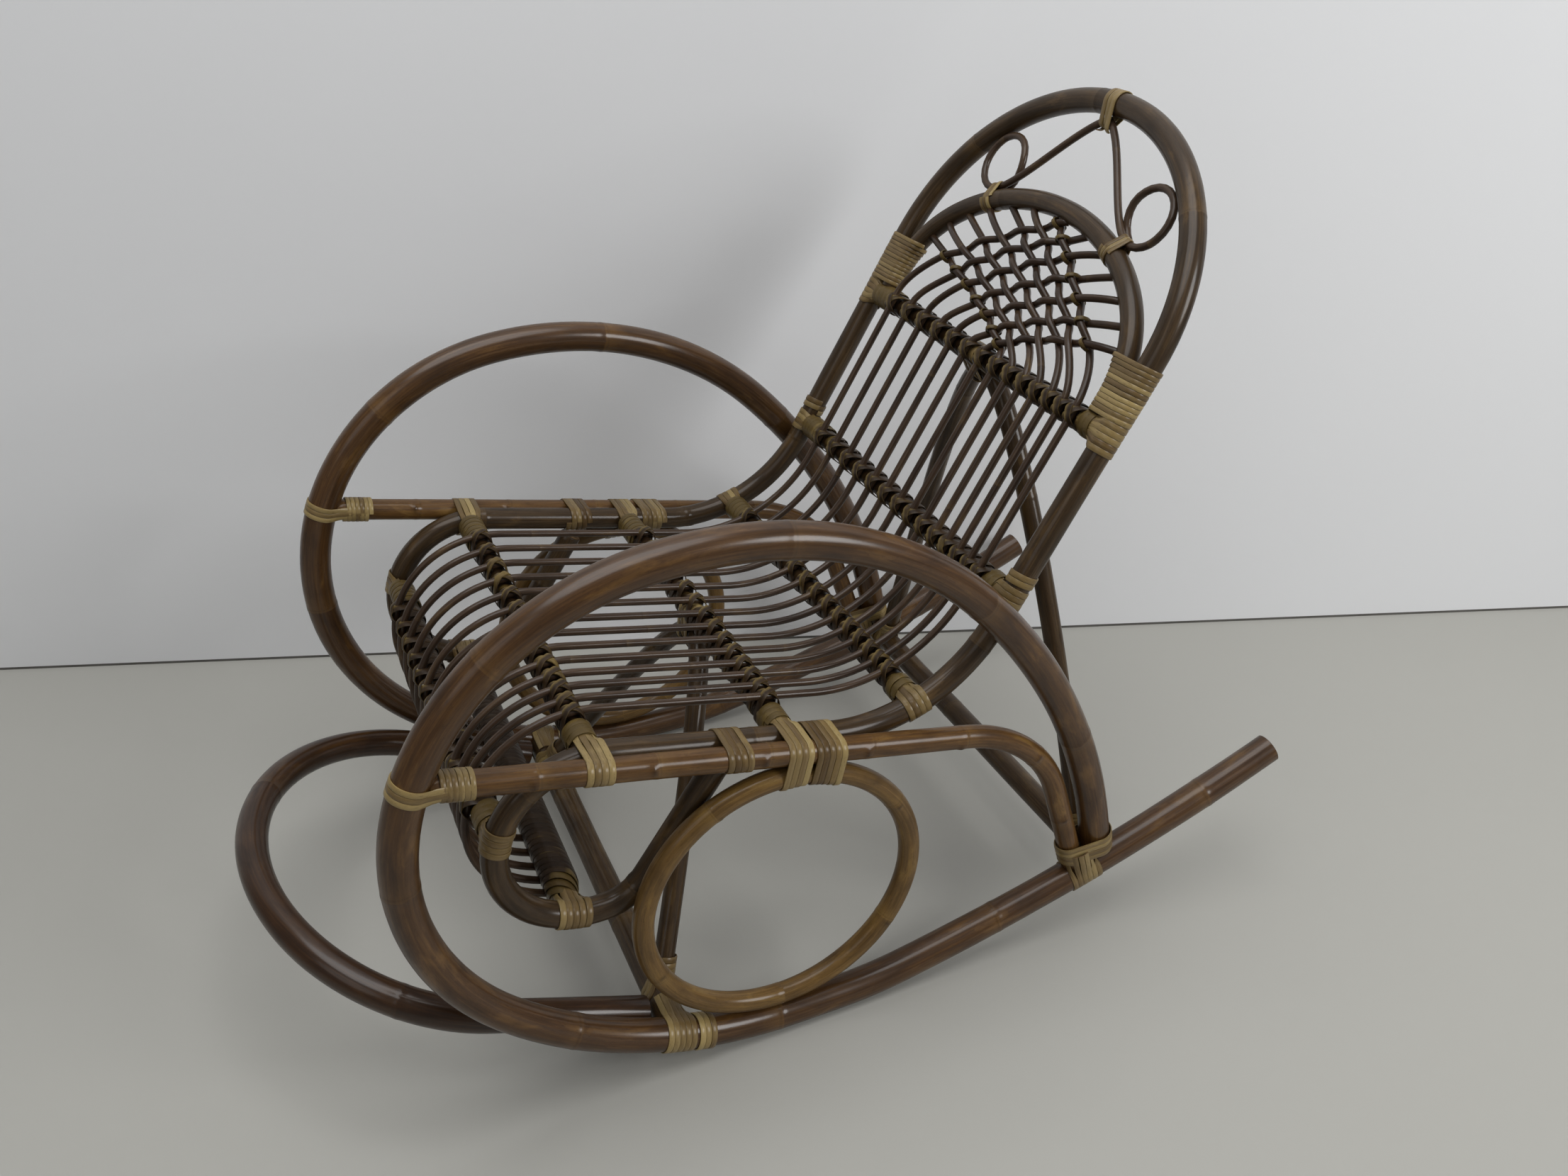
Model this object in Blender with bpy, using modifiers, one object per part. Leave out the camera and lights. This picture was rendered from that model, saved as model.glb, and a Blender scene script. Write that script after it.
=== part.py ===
"""Child's rattan rocking chair: bent poles, seat canes and peel bindings, one object for each.

Metres, +Z up. The sitter faces -Y and +X is the sitter's left. Side views are laid out as
(y, z), with y running back from the front end of the seat rail and z up from the floor. The
last step moves the whole chair so that its box stands centred on the origin.
"""
import math

import bmesh
import bpy
from mathutils import Vector

# Fits between pieces
CLEAR = 0.0003            # gap left between two pieces that touch
WRAP_ROOM = 0.0030        # space left beside a pole where a binding passes
CANE_LIFT = 0.0005        # gap between a cane and the bars it runs over
FOOT_GAP = 0.0020         # gap between a hoop's end and the rocker it stands on
MERGE = 0.00005           # distance under which points of a swept pole are one point

# Pole radii
HOOP_R = 0.0128
RAIL_R = 0.0090
RING_R = 0.0082
FRAME_R = 0.0095
FOOT_LOOP_R = 0.0122
FRONT_STRETCHER_R = 0.0115
REAR_STRETCHER_R = 0.0105
BRACE_R = 0.0082
ARCH_R = 0.0085
ORNAMENT_R = 0.0030
BAR_R = 0.0080
CANE_R = 0.0029

# Peel strips of the bindings
PEEL_W = 0.0046
NARROW_PEEL_W = 0.0034
STRAP_W = 0.0100
PEEL_T = 0.0009
PEEL_GAP = 0.0007         # between neighbouring turns
BRANCH_GAP = 0.0010       # between a turn and the pole it passes
BRANCH_SPREAD = 1.2       # wider pitch of the turns next to a branch

# Hoops: one pole bent into rocker, front, arm and rear leg
HALF_TRACK = 0.2000       # middle of the chair to a hoop's plane
LOW_Y = 0.2770            # middle of the worn flat the rocker rests on
REST_FLAT = 0.0400
HEEL_BEND, HEEL_SWEEP, TOE_SWEEP = 0.3020, 10.5, 46.4
ROCKER_BEND, ROCKER_SWEEP = 1.6100, 13.3
FRONT_BEND, FRONT_SWEEP = 0.1980, 126.8
ARM_BEND, ARM_SWEEP = 0.2840, 52.5
LEG_BEND = 0.5035
LEG_SEARCH, LEG_STEP, LEG_STRIDE = 60.0, 0.1, 60

# Seat rails and side rings
RAIL_FRONT_Z = 0.3210     # rail's centre where it starts, at y = 0
SEAT_SLOPE = 12.0         # the seat falls towards the back
RAIL_LEAN = 18.0          # rear run of the rail, off the vertical
RAIL_BEND = 0.1200
RING_Y = 0.2447

# Seat and back frame, one pole from scroll to scroll
NOSE_Y = 0.1300           # where the seat starts to roll over
NOSE_BEND = 0.0700
SCROLL_BEND = 0.0640
SCROLL_RUN = 0.0050
TAIL_BEND, TAIL_SWEEP = 0.0400, 55.0
CREASE_Y = 0.2918         # where the seat starts to turn up into the back
CREASE_BEND = 0.1300
BACK_RECLINE = 30.7
BACK_INSET = 0.0018       # the back runs this much farther inside the hoops
SPRING_HEIGHT = 0.2050        # up the back to where the top arch springs
ARCH_RISE = 0.1600

# Inner arch, looped ornament and lattice, in the plane of the back
INNER_SPRING_HEIGHT = 0.1750
INNER_RISE = 0.1040
LOOP_INSET = 0.0621       # inner arch's side to the middle of a loop
LOOP_SWEEP = 303.0
STRAND_TOP_OUT = 0.0280   # the strand's handles, at the top and at the loop
STRAND_TOP_DROP = 0.0118
STRAND_END_PULL = 0.0275
LATTICE_FIRST, LATTICE_STEP = 3.5, 10.8   # round the arch to the canes' ends
LATTICE_SKEW = 3.9        # the lattice is turned this far to the sitter's left
LATTICE_LEAVE = 0.0055    # a cane runs straight this far past the upper bar
LATTICE_LEAN, LATTICE_LEAN_STEP = -2.8, 6.4   # and leaves it leaning to the other side, by its rank
LATTICE_LEAN_SKEW = 8.7   # more on the sitter's left than on the right
LATTICE_PULL = 0.236      # share of its run over which it keeps that lean
LATTICE_SINK = 0.0095     # it sinks into its layer of the lattice over this height
LATTICE_GAP = 0.0018      # between the two layers
LATTICE_DISH = 0.0350     # from the arch, over this length, the lattice comes level with the bar's front
LATTICE_POINTS, LATTICE_CROWD = 12, 1.6   # points of a cane's run, closer where it leaves the bar

# Bars, placed along the frame
SEAT_FRONT_BAR_SWEEP = 12.0
NOSE_BAR_SWEEP = 83.0
SCROLL_BAR_SWEEP = 75.0
SEAT_MIDDLE_BAR_Y = 0.2566
SEAT_REAR_BAR_SWEEP = 31.0
BACK_LOWER_BAR_HEIGHT = 0.0156
BACK_UPPER_BAR_HEIGHT = 0.1510

# Canes
CANES = 14
CANE_MARGIN = 0.0019      # between the outermost cane and the inner arch's foot, for its binding
CANE_INSET = 0.0178       # the first cane, on the sitter's right, stands this much farther in
CANE_CROWD = 0.33         # share of the mean pitch by which the canes close up to the left
CANE_END_SWEEP = 8.0      # the canes end this far past the scroll bar

# Foot loop, stretchers and braces
FOOT_SLOPE = 23.0
FOOT_END_Y = 0.1326
FOOT_END_Z = 0.0387
FOOT_TURN_Y = 0.0300
FOOT_REACH = 0.1500
FRONT_STRETCHER_Y = 0.1575
REAR_STRETCHER_Y = 0.5356
SEAT_BRACE_INSET = 0.0400  # hoop's plane to a foot of the seat brace
SEAT_BRACE_TOP_PULL = 0.0300
SEAT_BRACE_FOOT_SHARE = 0.5
BACK_BRACE_DROP = 53.0    # direction from the upper bar to the brace's top, below level
BACK_BRACE_TOP_PULL = 0.0350
BACK_BRACE_FOOT_PULL = 0.2000
BACK_BRACE_LEAN = 19.0
TIE_Y = 0.2119            # where the frame is bound to the rail between two bars

# Strap of the rail's front joint
STRAP_TURN = 13.0         # how far past half a turn the strap hugs the hoop
STRAP_CORNERS = 5
STRAP_JOIN = 0.0170       # behind the hoop, where the strap meets the rail's sides
STRAP_END = 0.0360

# Sampling
BEND_STEP = 11.0
ROCKER_STEP = 2.3
CANE_STEP = 12.0
WRAP_STEP = 45.0
HOLD = 1 / 6              # share of a turn spent beside a branch before crossing behind

SIDES = (("left", 1), ("right", -1))
WOOD = {
    "hoop": (0.36, 0.17, 0.065),
    "rail": (0.42, 0.19, 0.070),
    "ring": (0.45, 0.22, 0.085),
    "frame": (0.21, 0.125, 0.070),
    "brace": (0.33, 0.17, 0.075),
    "cane": (0.18, 0.115, 0.070),
    "peel": (0.52, 0.40, 0.20),
}


def unit(degrees):
    angle = math.radians(degrees)
    return Vector((math.cos(angle), math.sin(angle)))


def route(start, heading, moves, step=BEND_STEP):
    """Side view of a bent pole: (length,) runs straight, (radius, sweep) bends, left positive."""
    points = [Vector(start)]
    for move in moves:
        if len(move) == 1:
            points.append(points[-1] + unit(heading) * move[0])
            continue
        radius, sweep = move
        side = math.copysign(90, sweep)
        centre = points[-1] + unit(heading + side) * radius
        count = max(2, math.ceil(abs(sweep) / step))
        turns = [heading + sweep * i / count for i in range(1, count + 1)]
        points += [centre - unit(turn + side) * radius for turn in turns]
        heading += sweep
    return points


def bezier(a, b, c, d, count):
    """Points of a cubic curve, both ends included."""
    shares = [i / count for i in range(count + 1)]
    return [a * (1 - t) ** 3 + b * 3 * t * (1 - t) ** 2 + c * 3 * t * t * (1 - t) + d * t ** 3
            for t in shares]


def nearest(points, place):
    """Distance from a place to a line of points, and the nearest point on it."""
    best = None
    for a, b in zip(points, points[1:]):
        run = b - a
        share = min(1, max(0, (place - a).dot(run) / run.length_squared))
        hit = a + run * share
        if best is None or (place - hit).length < best[0]:
            best = ((place - hit).length, hit)
    return best


def nested_circle(across, low, high, below, below_room, above, above_room):
    """Height and radius of the circle at `across` that touches the lines below and above."""
    for _ in range(60):
        height = (low + high) / 2
        under = nearest(below, Vector((across, height)))[0] - below_room
        over = nearest(above, Vector((across, height)))[0] - above_room
        if under < over:
            low = height
        else:
            high = height
    return height, under


def side_view(points, x):
    return [Vector((x, p.x, p.y)) for p in points]


def in_space(x, p):
    return Vector((x, p.x, p.y))


def new_collection(name):
    collection = bpy.data.collections.new(name)
    bpy.context.scene.collection.children.link(collection)
    return collection


def material(name, colour, roughness):
    made = bpy.data.materials.new(name)
    made.use_nodes = True
    shader = made.node_tree.nodes["Principled BSDF"]
    shader.inputs["Base Color"].default_value = (*colour, 1)
    shader.inputs["Roughness"].default_value = roughness
    return made


def keep(name, mesh, kind, collection):
    """Hang a finished mesh in the chair as one named piece with its own material."""
    piece = bpy.data.objects.new(name, mesh)
    collection.objects.link(piece)
    piece.parent = root
    mesh.materials.clear()
    mesh.materials.append(material(name, WOOD[kind], 0.35 if kind != "peel" else 0.55))
    return piece


def swept(name, points, radius, sides, closed=False):
    """Mesh of a round pole swept along its centre line."""
    curve = bpy.data.curves.new(name, "CURVE")
    curve.dimensions = "3D"
    curve.bevel_depth = radius
    curve.bevel_resolution = sides // 2 - 2
    curve.use_fill_caps = True
    spline = curve.splines.new("POLY")
    spline.points.add(len(points) - 1)
    spline.use_cyclic_u = closed
    spline.use_smooth = True
    for node, point in zip(spline.points, points):
        node.co = (*point, 1)
    guide = bpy.data.objects.new(name, curve)
    bpy.context.scene.collection.objects.link(guide)
    bpy.context.view_layer.update()
    evaluated = guide.evaluated_get(bpy.context.evaluated_depsgraph_get())
    mesh = bpy.data.meshes.new_from_object(evaluated)
    bpy.data.objects.remove(guide)
    solid = bmesh.new()
    solid.from_mesh(mesh)
    bmesh.ops.remove_doubles(solid, verts=solid.verts, dist=MERGE)
    solid.to_mesh(mesh)
    solid.free()
    return mesh


def pole(name, points, radius, kind, sides=8, closed=False, cutters=()):
    piece = keep(name, swept(name, points, radius, sides, closed), kind, parts)
    for cutter in cutters:
        cope = piece.modifiers.new("cope", "BOOLEAN")
        cope.operation = "DIFFERENCE"
        cope.solver = "EXACT"
        cope.object = cutter
    return piece


def cutter(name, points, radius, sides):
    """A pole's own shape, a clearance larger, for coping the poles that butt against it."""
    mesh = swept(name, points, radius + CLEAR, sides)
    tool = bpy.data.objects.new(name, mesh)
    tools.objects.link(tool)
    tool.parent = root
    tool.hide_render = True
    tool.display_type = "WIRE"
    return tool


def ribbon(name, points, axis, width):
    """A peel strip lying on `points`, as wide as `width` along `axis`, thickened outwards."""
    strip = bmesh.new()
    foot = [strip.verts.new(p - axis * (width / 2)) for p in points]
    head = [strip.verts.new(p + axis * (width / 2)) for p in points]
    for i in range(len(points) - 1):
        strip.faces.new((foot[i], foot[i + 1], head[i + 1], head[i]))
    mesh = bpy.data.meshes.new(name)
    strip.to_mesh(mesh)
    strip.free()
    piece = keep(name, mesh, "peel", parts)
    thicken = piece.modifiers.new("thickness", "SOLIDIFY")
    thicken.thickness = PEEL_T
    thicken.offset = 1
    thicken.use_even_offset = True


def crossing(points, centre, axis):
    """Where a pole's centre line passes the plane across `axis`, and how squarely it does."""
    best = None
    for a, b in zip(points, points[1:]):
        before, after = (a - centre).dot(axis), (b - centre).dot(axis)
        if before * after > 0 or before == after:
            continue
        hit = a.lerp(b, before / (before - after))
        away = (hit - centre).length
        if best is None or away < best[0]:
            best = (away, hit, abs((b - a).normalized().dot(axis)))
    return best


def circles_at(poles, centre, axis, toward, across):
    """The wrapped poles cut across: their centres in the plane and their radii."""
    found = []
    for points, radius in poles:
        met = crossing(points, centre, axis)
        if met is None:
            continue
        away, hit, square = met
        place = Vector(((hit - centre).dot(toward), (hit - centre).dot(across)))
        found.append((place, radius / square))
    return found


def wrap_normals(circles):
    """Outward directions, in degrees, of a taut wrap's flats, with arcs between cut in steps."""
    flats = []
    for a, ra in circles:
        for b, rb in circles:
            span = b - a
            if span.length < CLEAR:
                continue
            lean = math.degrees(math.acos((ra - rb) / span.length))
            angle = math.degrees(math.atan2(span.y, span.x)) - lean
            reach = [c.dot(unit(angle)) + r for c, r in circles]
            if max(reach) < a.dot(unit(angle)) + ra + CLEAR / 10:
                flats.append(angle % 360)
    flats = sorted(flats) or [0.0, 180.0]
    normals = []
    for start, end in zip(flats, flats[1:] + [flats[0] + 360]):
        count = max(1, math.ceil((end - start) / WRAP_STEP))
        normals += [start + (end - start) * i / count for i in range(count)]
    return normals


def winding(name, poles, origin, axis, toward, stations, width=PEEL_W):
    """One unbroken strip wound round `poles`; a turn starts on the `toward` side at each station."""
    axis = axis.normalized()
    across = axis.cross(toward)
    middle = origin + axis * ((stations[0] + stations[-1]) / 2)
    normals = wrap_normals(circles_at(poles, middle, axis, toward, across))
    corners = []
    for first, second in zip(normals, normals[1:] + [normals[0] + 360]):
        corners.append((((first + second) / 2) % 360, first, second))
    corners.sort()
    points, heights = [], []
    for start, end in zip(stations, stations[1:]):
        for angle, first, second in corners:
            share = angle / 360
            if end - start > 2 * (width + PEEL_GAP):
                share = min(1, max(0, (share - HOLD) / (1 - 2 * HOLD)))
            height = start + (end - start) * share
            centre = origin + axis * height
            edges = [centre - axis * (width / 2), centre + axis * (width / 2)]
            circles = [c for edge in edges for c in circles_at(poles, edge, axis, toward, across)]
            near, far = [max(c.dot(unit(n)) + r for c, r in circles) + CLEAR for n in (first, second)]
            a, b = unit(first), unit(second)
            spread = a.x * b.y - a.y * b.x
            corner = Vector((near * b.y - far * a.y, far * a.x - near * b.x)) / spread
            points.append(centre + toward * corner.x + across * corner.y)
            heights.append(height)
    turn = len(corners)
    gap = min((b - a - width for a, b in zip(heights, heights[turn:])), default=PEEL_GAP)
    print(f"{name}: least gap between turns {gap * 1000:.2f} mm")
    ribbon(name, points, axis, width)


def coil(start, turns, width=PEEL_W):
    """Stations of a plain winding."""
    return [start + (width + PEEL_GAP) * i for i in range(turns + 1)]


def past_branch(branch_r, before, after, width=PEEL_W):
    """Stations of a winding that passes a branching pole, with turns on both sides of it."""
    near = branch_r + width / 2 + BRANCH_GAP
    pitch = width + PEEL_GAP
    ahead = [-near - pitch * (BRANCH_SPREAD + i) for i in range(before - 1, -1, -1)]
    beyond = [near + pitch * (BRANCH_SPREAD + i) for i in range(after)]
    return ahead + [-near, near] + beyond


for stale in list(bpy.data.objects):
    bpy.data.objects.remove(stale)
parts = new_collection("rattan_rocking_chair")
tools = new_collection("cutters")
root = bpy.data.objects.new("root", None)
parts.objects.link(root)

# Hoops, in side view from the rocker's rear tip round to the foot of the rear leg
rest_end = Vector((LOW_Y + REST_FLAT / 2, HOOP_R))
rear = route(rest_end, 0, [(HEEL_BEND, HEEL_SWEEP), (ROCKER_BEND, ROCKER_SWEEP)], ROCKER_STEP)
front = route(rest_end, 180, [(REST_FLAT,), (HEEL_BEND, -TOE_SWEEP), (FRONT_BEND, -FRONT_SWEEP),
                              (ARM_BEND, -ARM_SWEEP)])
leg_heading = 180 - TOE_SWEEP - FRONT_SWEEP - ARM_SWEEP
leg_line = route(front[-1], leg_heading, [(LEG_BEND, -LEG_SEARCH)], LEG_STEP)
leg_count = next(i for i, p in enumerate(leg_line) if nearest(rear, p)[0] < HOOP_R + FOOT_GAP)
leg = leg_line[LEG_STRIDE:leg_count - LEG_STRIDE // 2:LEG_STRIDE] + [leg_line[leg_count - 1]]
rocker = rear[::-1] + front[1:5]
hoop = rear[::-1] + front[1:] + leg


def on_rocker(y):
    """Point of the rocker's centre line at a given y, and the direction it runs back in."""
    for a, b in zip(rocker, rocker[1:]):
        if b.x <= y <= a.x:
            return a.lerp(b, (y - a.x) / (b.x - a.x)), (a - b).normalized()


# Seat rails: a straight fall to the back, then down to the rocker in front of the leg's foot
fall = unit(-SEAT_SLOPE)
rail_start = Vector((0, RAIL_FRONT_Z))
leg_foot = leg[-1]
_, rocker_run = on_rocker(leg_foot.x)
rail_foot = leg_foot - rocker_run * (HOOP_R + RAIL_R + 3 * CLEAR)
rail_rise = unit(90 + RAIL_LEAN)
rail_turn = 90 - RAIL_LEAN - SEAT_SLOPE
corner_run = ((rail_foot.x - rail_start.x) * rail_rise.y - (rail_foot.y - rail_start.y) * rail_rise.x)
corner_run /= fall.x * rail_rise.y - fall.y * rail_rise.x
cut_back = RAIL_BEND * math.tan(math.radians(rail_turn / 2))
drop = (rail_start + fall * corner_run - rail_foot).length - cut_back
rail = route(rail_start, -SEAT_SLOPE, [(corner_run - cut_back,), (RAIL_BEND, -rail_turn),
                                       (drop + HOOP_R,)])

# Side rings, resting on the rockers and under the rails
ring_low, ring_high = on_rocker(RING_Y)[0].y, rail_start.y
ring_z, ring_bend = nested_circle(RING_Y, ring_low, ring_high, rocker, HOOP_R + RING_R + CLEAR,
                                  rail, RAIL_R + RING_R + CLEAR)
ring = [Vector((RING_Y, ring_z)) + unit(-90 + 12 * i) * ring_bend for i in range(30)]

# Seat and back frame in side view
seat_x = HALF_TRACK - RAIL_R - FRAME_R - CLEAR
back_x = HALF_TRACK - HOOP_R - FRAME_R - BACK_INSET
nose_start = rail_start + fall * (NOSE_Y / fall.x)
seat_run = (CREASE_Y - NOSE_Y) / fall.x
crease_sweep = SEAT_SLOPE + 90 - BACK_RECLINE
nose_moves = [(NOSE_BEND, 90 + SEAT_SLOPE), (SCROLL_BEND, 90), (SCROLL_RUN,), (TAIL_BEND, TAIL_SWEEP)]
scroll = route(nose_start, 180 - SEAT_SLOPE, nose_moves)
seat_up = unit(90 - SEAT_SLOPE)
tail_run = unit(TAIL_SWEEP)
tail_tilt = math.sqrt(1 - tail_run.dot(seat_up) ** 2)
tail_room = FRAME_R + WRAP_ROOM + FRAME_R * tail_tilt
tail = ((nose_start - scroll[-1]).dot(seat_up) - tail_room) / tail_run.dot(seat_up)
scroll.append(scroll[-1] + tail_run * tail)
crease = route(nose_start, -SEAT_SLOPE, [(seat_run,), (CREASE_BEND, crease_sweep)])
back_start = crease[-1]
back_rise = unit(90 - BACK_RECLINE)
back_front = unit(180 - BACK_RECLINE)


def on_back(x, up, proud=0.0):
    """A point of the back from its distance off the middle, up the back and out to the sitter."""
    return in_space(x, back_start + back_rise * up + back_front * proud)


def frame_half(side):
    half = side_view(scroll[::-1], side * seat_x)
    bends = len(crease) - 2
    for i, p in enumerate(crease[1:]):
        half.append(in_space(side * (seat_x + (back_x - seat_x) * i / bends), p))
    for i in range(12):
        turn = unit(7.5 * i)
        half.append(on_back(side * back_x * turn.x, SPRING_HEIGHT + ARCH_RISE * turn.y))
    return half


frame = frame_half(1) + [on_back(0, SPRING_HEIGHT + ARCH_RISE)] + frame_half(-1)[::-1]

# Inner arch, standing on the upper bar beside the frame
arch_x = back_x - FRAME_R - ARCH_R - CLEAR
arch_half = [Vector((arch_x, BACK_UPPER_BAR_HEIGHT + BAR_R + CLEAR))]
for i in range(13):
    arch_turn = unit(7.5 * i)
    arch_half.append(Vector((arch_x * arch_turn.x, INNER_SPRING_HEIGHT + INNER_RISE * arch_turn.y)))
arch_flat = arch_half + [Vector((-p.x, p.y)) for p in arch_half[-2::-1]]
arch = [on_back(p.x, p.y) for p in arch_flat]

# Looped ornament between the two arches: one cane from loop to loop over the middle
top_flat = [Vector((back_x * unit(5 * i).x, SPRING_HEIGHT + ARCH_RISE * unit(5 * i).y)) for i in range(19)]
loop_x = arch_x - LOOP_INSET
loop_up, loop_bend = nested_circle(loop_x, INNER_SPRING_HEIGHT, SPRING_HEIGHT + ARCH_RISE, arch_flat,
                                   ARCH_R + ORNAMENT_R + CLEAR, top_flat, FRAME_R + ORNAMENT_R + CLEAR)
apex = Vector((0, SPRING_HEIGHT + ARCH_RISE - FRAME_R - ORNAMENT_R - CLEAR))
loop_centre = Vector((loop_x, loop_up))
touch = nearest(arch_flat, loop_centre)[1]
touch_out = (loop_centre - touch).normalized()
touch_run = Vector((touch_out.y, -touch_out.x))
loop_foot = loop_centre - touch_out * loop_bend
pull = Vector((STRAND_TOP_OUT, -STRAND_TOP_DROP))
strand = bezier(apex, apex + pull, loop_foot - touch_run * STRAND_END_PULL, loop_foot, 10)
loop_heading = math.degrees(math.atan2(touch_run.y, touch_run.x))
ornament_half = strand + route(loop_foot, loop_heading, [(loop_bend, LOOP_SWEEP)], 15)[1:]
ornament_flat = [Vector((-p.x, p.y)) for p in ornament_half[::-1]] + ornament_half[1:]
ornament = [on_back(p.x, p.y) for p in ornament_flat]

# Bars across the frame: (name, place in side view, half-width)
crease_share = SEAT_REAR_BAR_SWEEP / crease_sweep
bar_places = [
    ("bar_nose", route(nose_start, 180 - SEAT_SLOPE, [(NOSE_BEND, NOSE_BAR_SWEEP)])[-1], seat_x),
    ("bar_scroll",
     route(nose_start, 180 - SEAT_SLOPE, nose_moves[:1] + [(SCROLL_BEND, SCROLL_BAR_SWEEP)])[-1], seat_x),
    ("bar_seat_front",
     route(nose_start, 180 - SEAT_SLOPE, [(NOSE_BEND, SEAT_FRONT_BAR_SWEEP)])[-1], seat_x),
    ("bar_seat_middle", rail_start + fall * (SEAT_MIDDLE_BAR_Y / fall.x), seat_x),
    ("bar_seat_rear", route(nose_start, -SEAT_SLOPE, [(seat_run,), (CREASE_BEND, SEAT_REAR_BAR_SWEEP)])[-1],
     seat_x + (back_x - seat_x) * crease_share),
    ("bar_back_lower", back_start + back_rise * BACK_LOWER_BAR_HEIGHT, back_x),
    ("bar_back_upper", back_start + back_rise * BACK_UPPER_BAR_HEIGHT, back_x),
]
bars = {name: (place, half) for name, place, half in bar_places}

# Canes: one run over all the bars, then across the inner arch as a lattice
cane_edge = arch_x - ARCH_R - CANE_R - CANE_MARGIN
cane_span = 2 * cane_edge - CANE_INSET
cane_off = BAR_R + CANE_R + CANE_LIFT
cane_start = nose_start + seat_up * cane_off
cane_scroll = route(cane_start, 180 - SEAT_SLOPE,
                    [(NOSE_BEND + cane_off, 90 + SEAT_SLOPE),
                     (SCROLL_BEND + cane_off, SCROLL_BAR_SWEEP + CANE_END_SWEEP)], CANE_STEP)
cane_seat = route(cane_start, -SEAT_SLOPE, [(seat_run,), (CREASE_BEND - cane_off, crease_sweep)], CANE_STEP)


def dish(x, up):
    """How far the middle of the lattice stands out to the sitter."""
    away = nearest(arch_flat, Vector((x, up)))[0] - ARCH_R
    return BAR_R * min(1, max(0, away / LATTICE_DISH))


def lattice(index, x):
    """A cane's run over the back's opening, from its place on the upper bar to the far arch."""
    side = 1 if index >= CANES / 2 else -1
    rank = min(index, CANES - 1 - index)
    turn = math.radians(LATTICE_FIRST - side * LATTICE_SKEW + LATTICE_STEP * rank)
    across = Vector((-side * math.sin(turn) * INNER_RISE, math.cos(turn) * arch_x)).normalized()
    end = Vector((-side * arch_x * math.sin(turn), INNER_SPRING_HEIGHT + INNER_RISE * math.cos(turn)))
    end -= across * (ARCH_R + CANE_R + CLEAR)
    start = Vector((x, BACK_UPPER_BAR_HEIGHT + LATTICE_LEAVE))
    lean = unit(90 + side * (LATTICE_LEAN + side * LATTICE_LEAN_SKEW + LATTICE_LEAN_STEP * rank))
    line = bezier(start, start + lean * (end - start).length * LATTICE_PULL, end, end, LATTICE_POINTS ** 2)
    layer = side * (CANE_R + LATTICE_GAP / 2)
    run = []
    for i in range(LATTICE_POINTS):
        p = line[round(LATTICE_POINTS ** 2 * (i / (LATTICE_POINTS - 1)) ** LATTICE_CROWD)]
        sink = min(1, (p.y - start.y) / LATTICE_SINK)
        sink *= sink * (3 - 2 * sink)
        run.append(on_back(p.x, p.y, cane_off + (dish(p.x, p.y) + layer - cane_off) * sink))
    return run


def cane(index):
    share = index / (CANES - 1)
    x = CANE_INSET - cane_edge + cane_span * share * (1 + CANE_CROWD * (1 - share))
    return side_view(cane_scroll[::-1] + cane_seat[1:], x) + lattice(index, x)


# Foot loop, rising to the front from its ends beside the rockers
foot_x = HALF_TRACK - HOOP_R - FOOT_LOOP_R - CLEAR
foot_rise = unit(180 - FOOT_SLOPE)
foot_end = Vector((FOOT_END_Y, FOOT_END_Z))
foot_leg = (FOOT_END_Y - FOOT_TURN_Y) / -foot_rise.x
foot_loop = [in_space(foot_x, foot_end)]
for i in range(21):
    foot_turn = unit(9 * i)
    foot_loop.append(in_space(foot_x * foot_turn.x,
                              foot_end + foot_rise * (foot_leg + FOOT_REACH * foot_turn.y)))
foot_loop.append(in_space(-foot_x, foot_end))

# Stretchers between the rockers, and the two braces standing on them
front_axis = on_rocker(FRONT_STRETCHER_Y)[0]
rear_axis = on_rocker(REAR_STRETCHER_Y)[0]


def brace(top, foot, top_pull, foot_pull):
    """A pole bent over its middle, from its left foot over the top to its right foot."""
    half = bezier(foot, foot + foot_pull, top + Vector((top_pull, 0, 0)), top, 10)
    return half + [Vector((-p.x, p.y, p.z)) for p in half[-2::-1]]


middle_bar = bars["bar_seat_middle"][0]
seat_top = in_space(0, middle_bar - Vector((0, BAR_R + BRACE_R + CLEAR)))
seat_foot = in_space(HALF_TRACK - SEAT_BRACE_INSET, front_axis)
seat_pull = (seat_top + Vector((SEAT_BRACE_TOP_PULL, 0, 0)) - seat_foot) * SEAT_BRACE_FOOT_SHARE
seat_brace = brace(seat_top, seat_foot, SEAT_BRACE_TOP_PULL, seat_pull)
upper_bar = bars["bar_back_upper"][0]
back_top = in_space(0, upper_bar + unit(-BACK_BRACE_DROP) * (BAR_R + BRACE_R + CLEAR))
back_foot = in_space(HALF_TRACK - HOOP_R - BRACE_R - WRAP_ROOM, rear_axis)
lean = unit(90 + BACK_BRACE_LEAN) * BACK_BRACE_FOOT_PULL
back_brace = brace(back_top, back_foot, BACK_BRACE_TOP_PULL, Vector((lean.x, 0, lean.y)))

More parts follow.
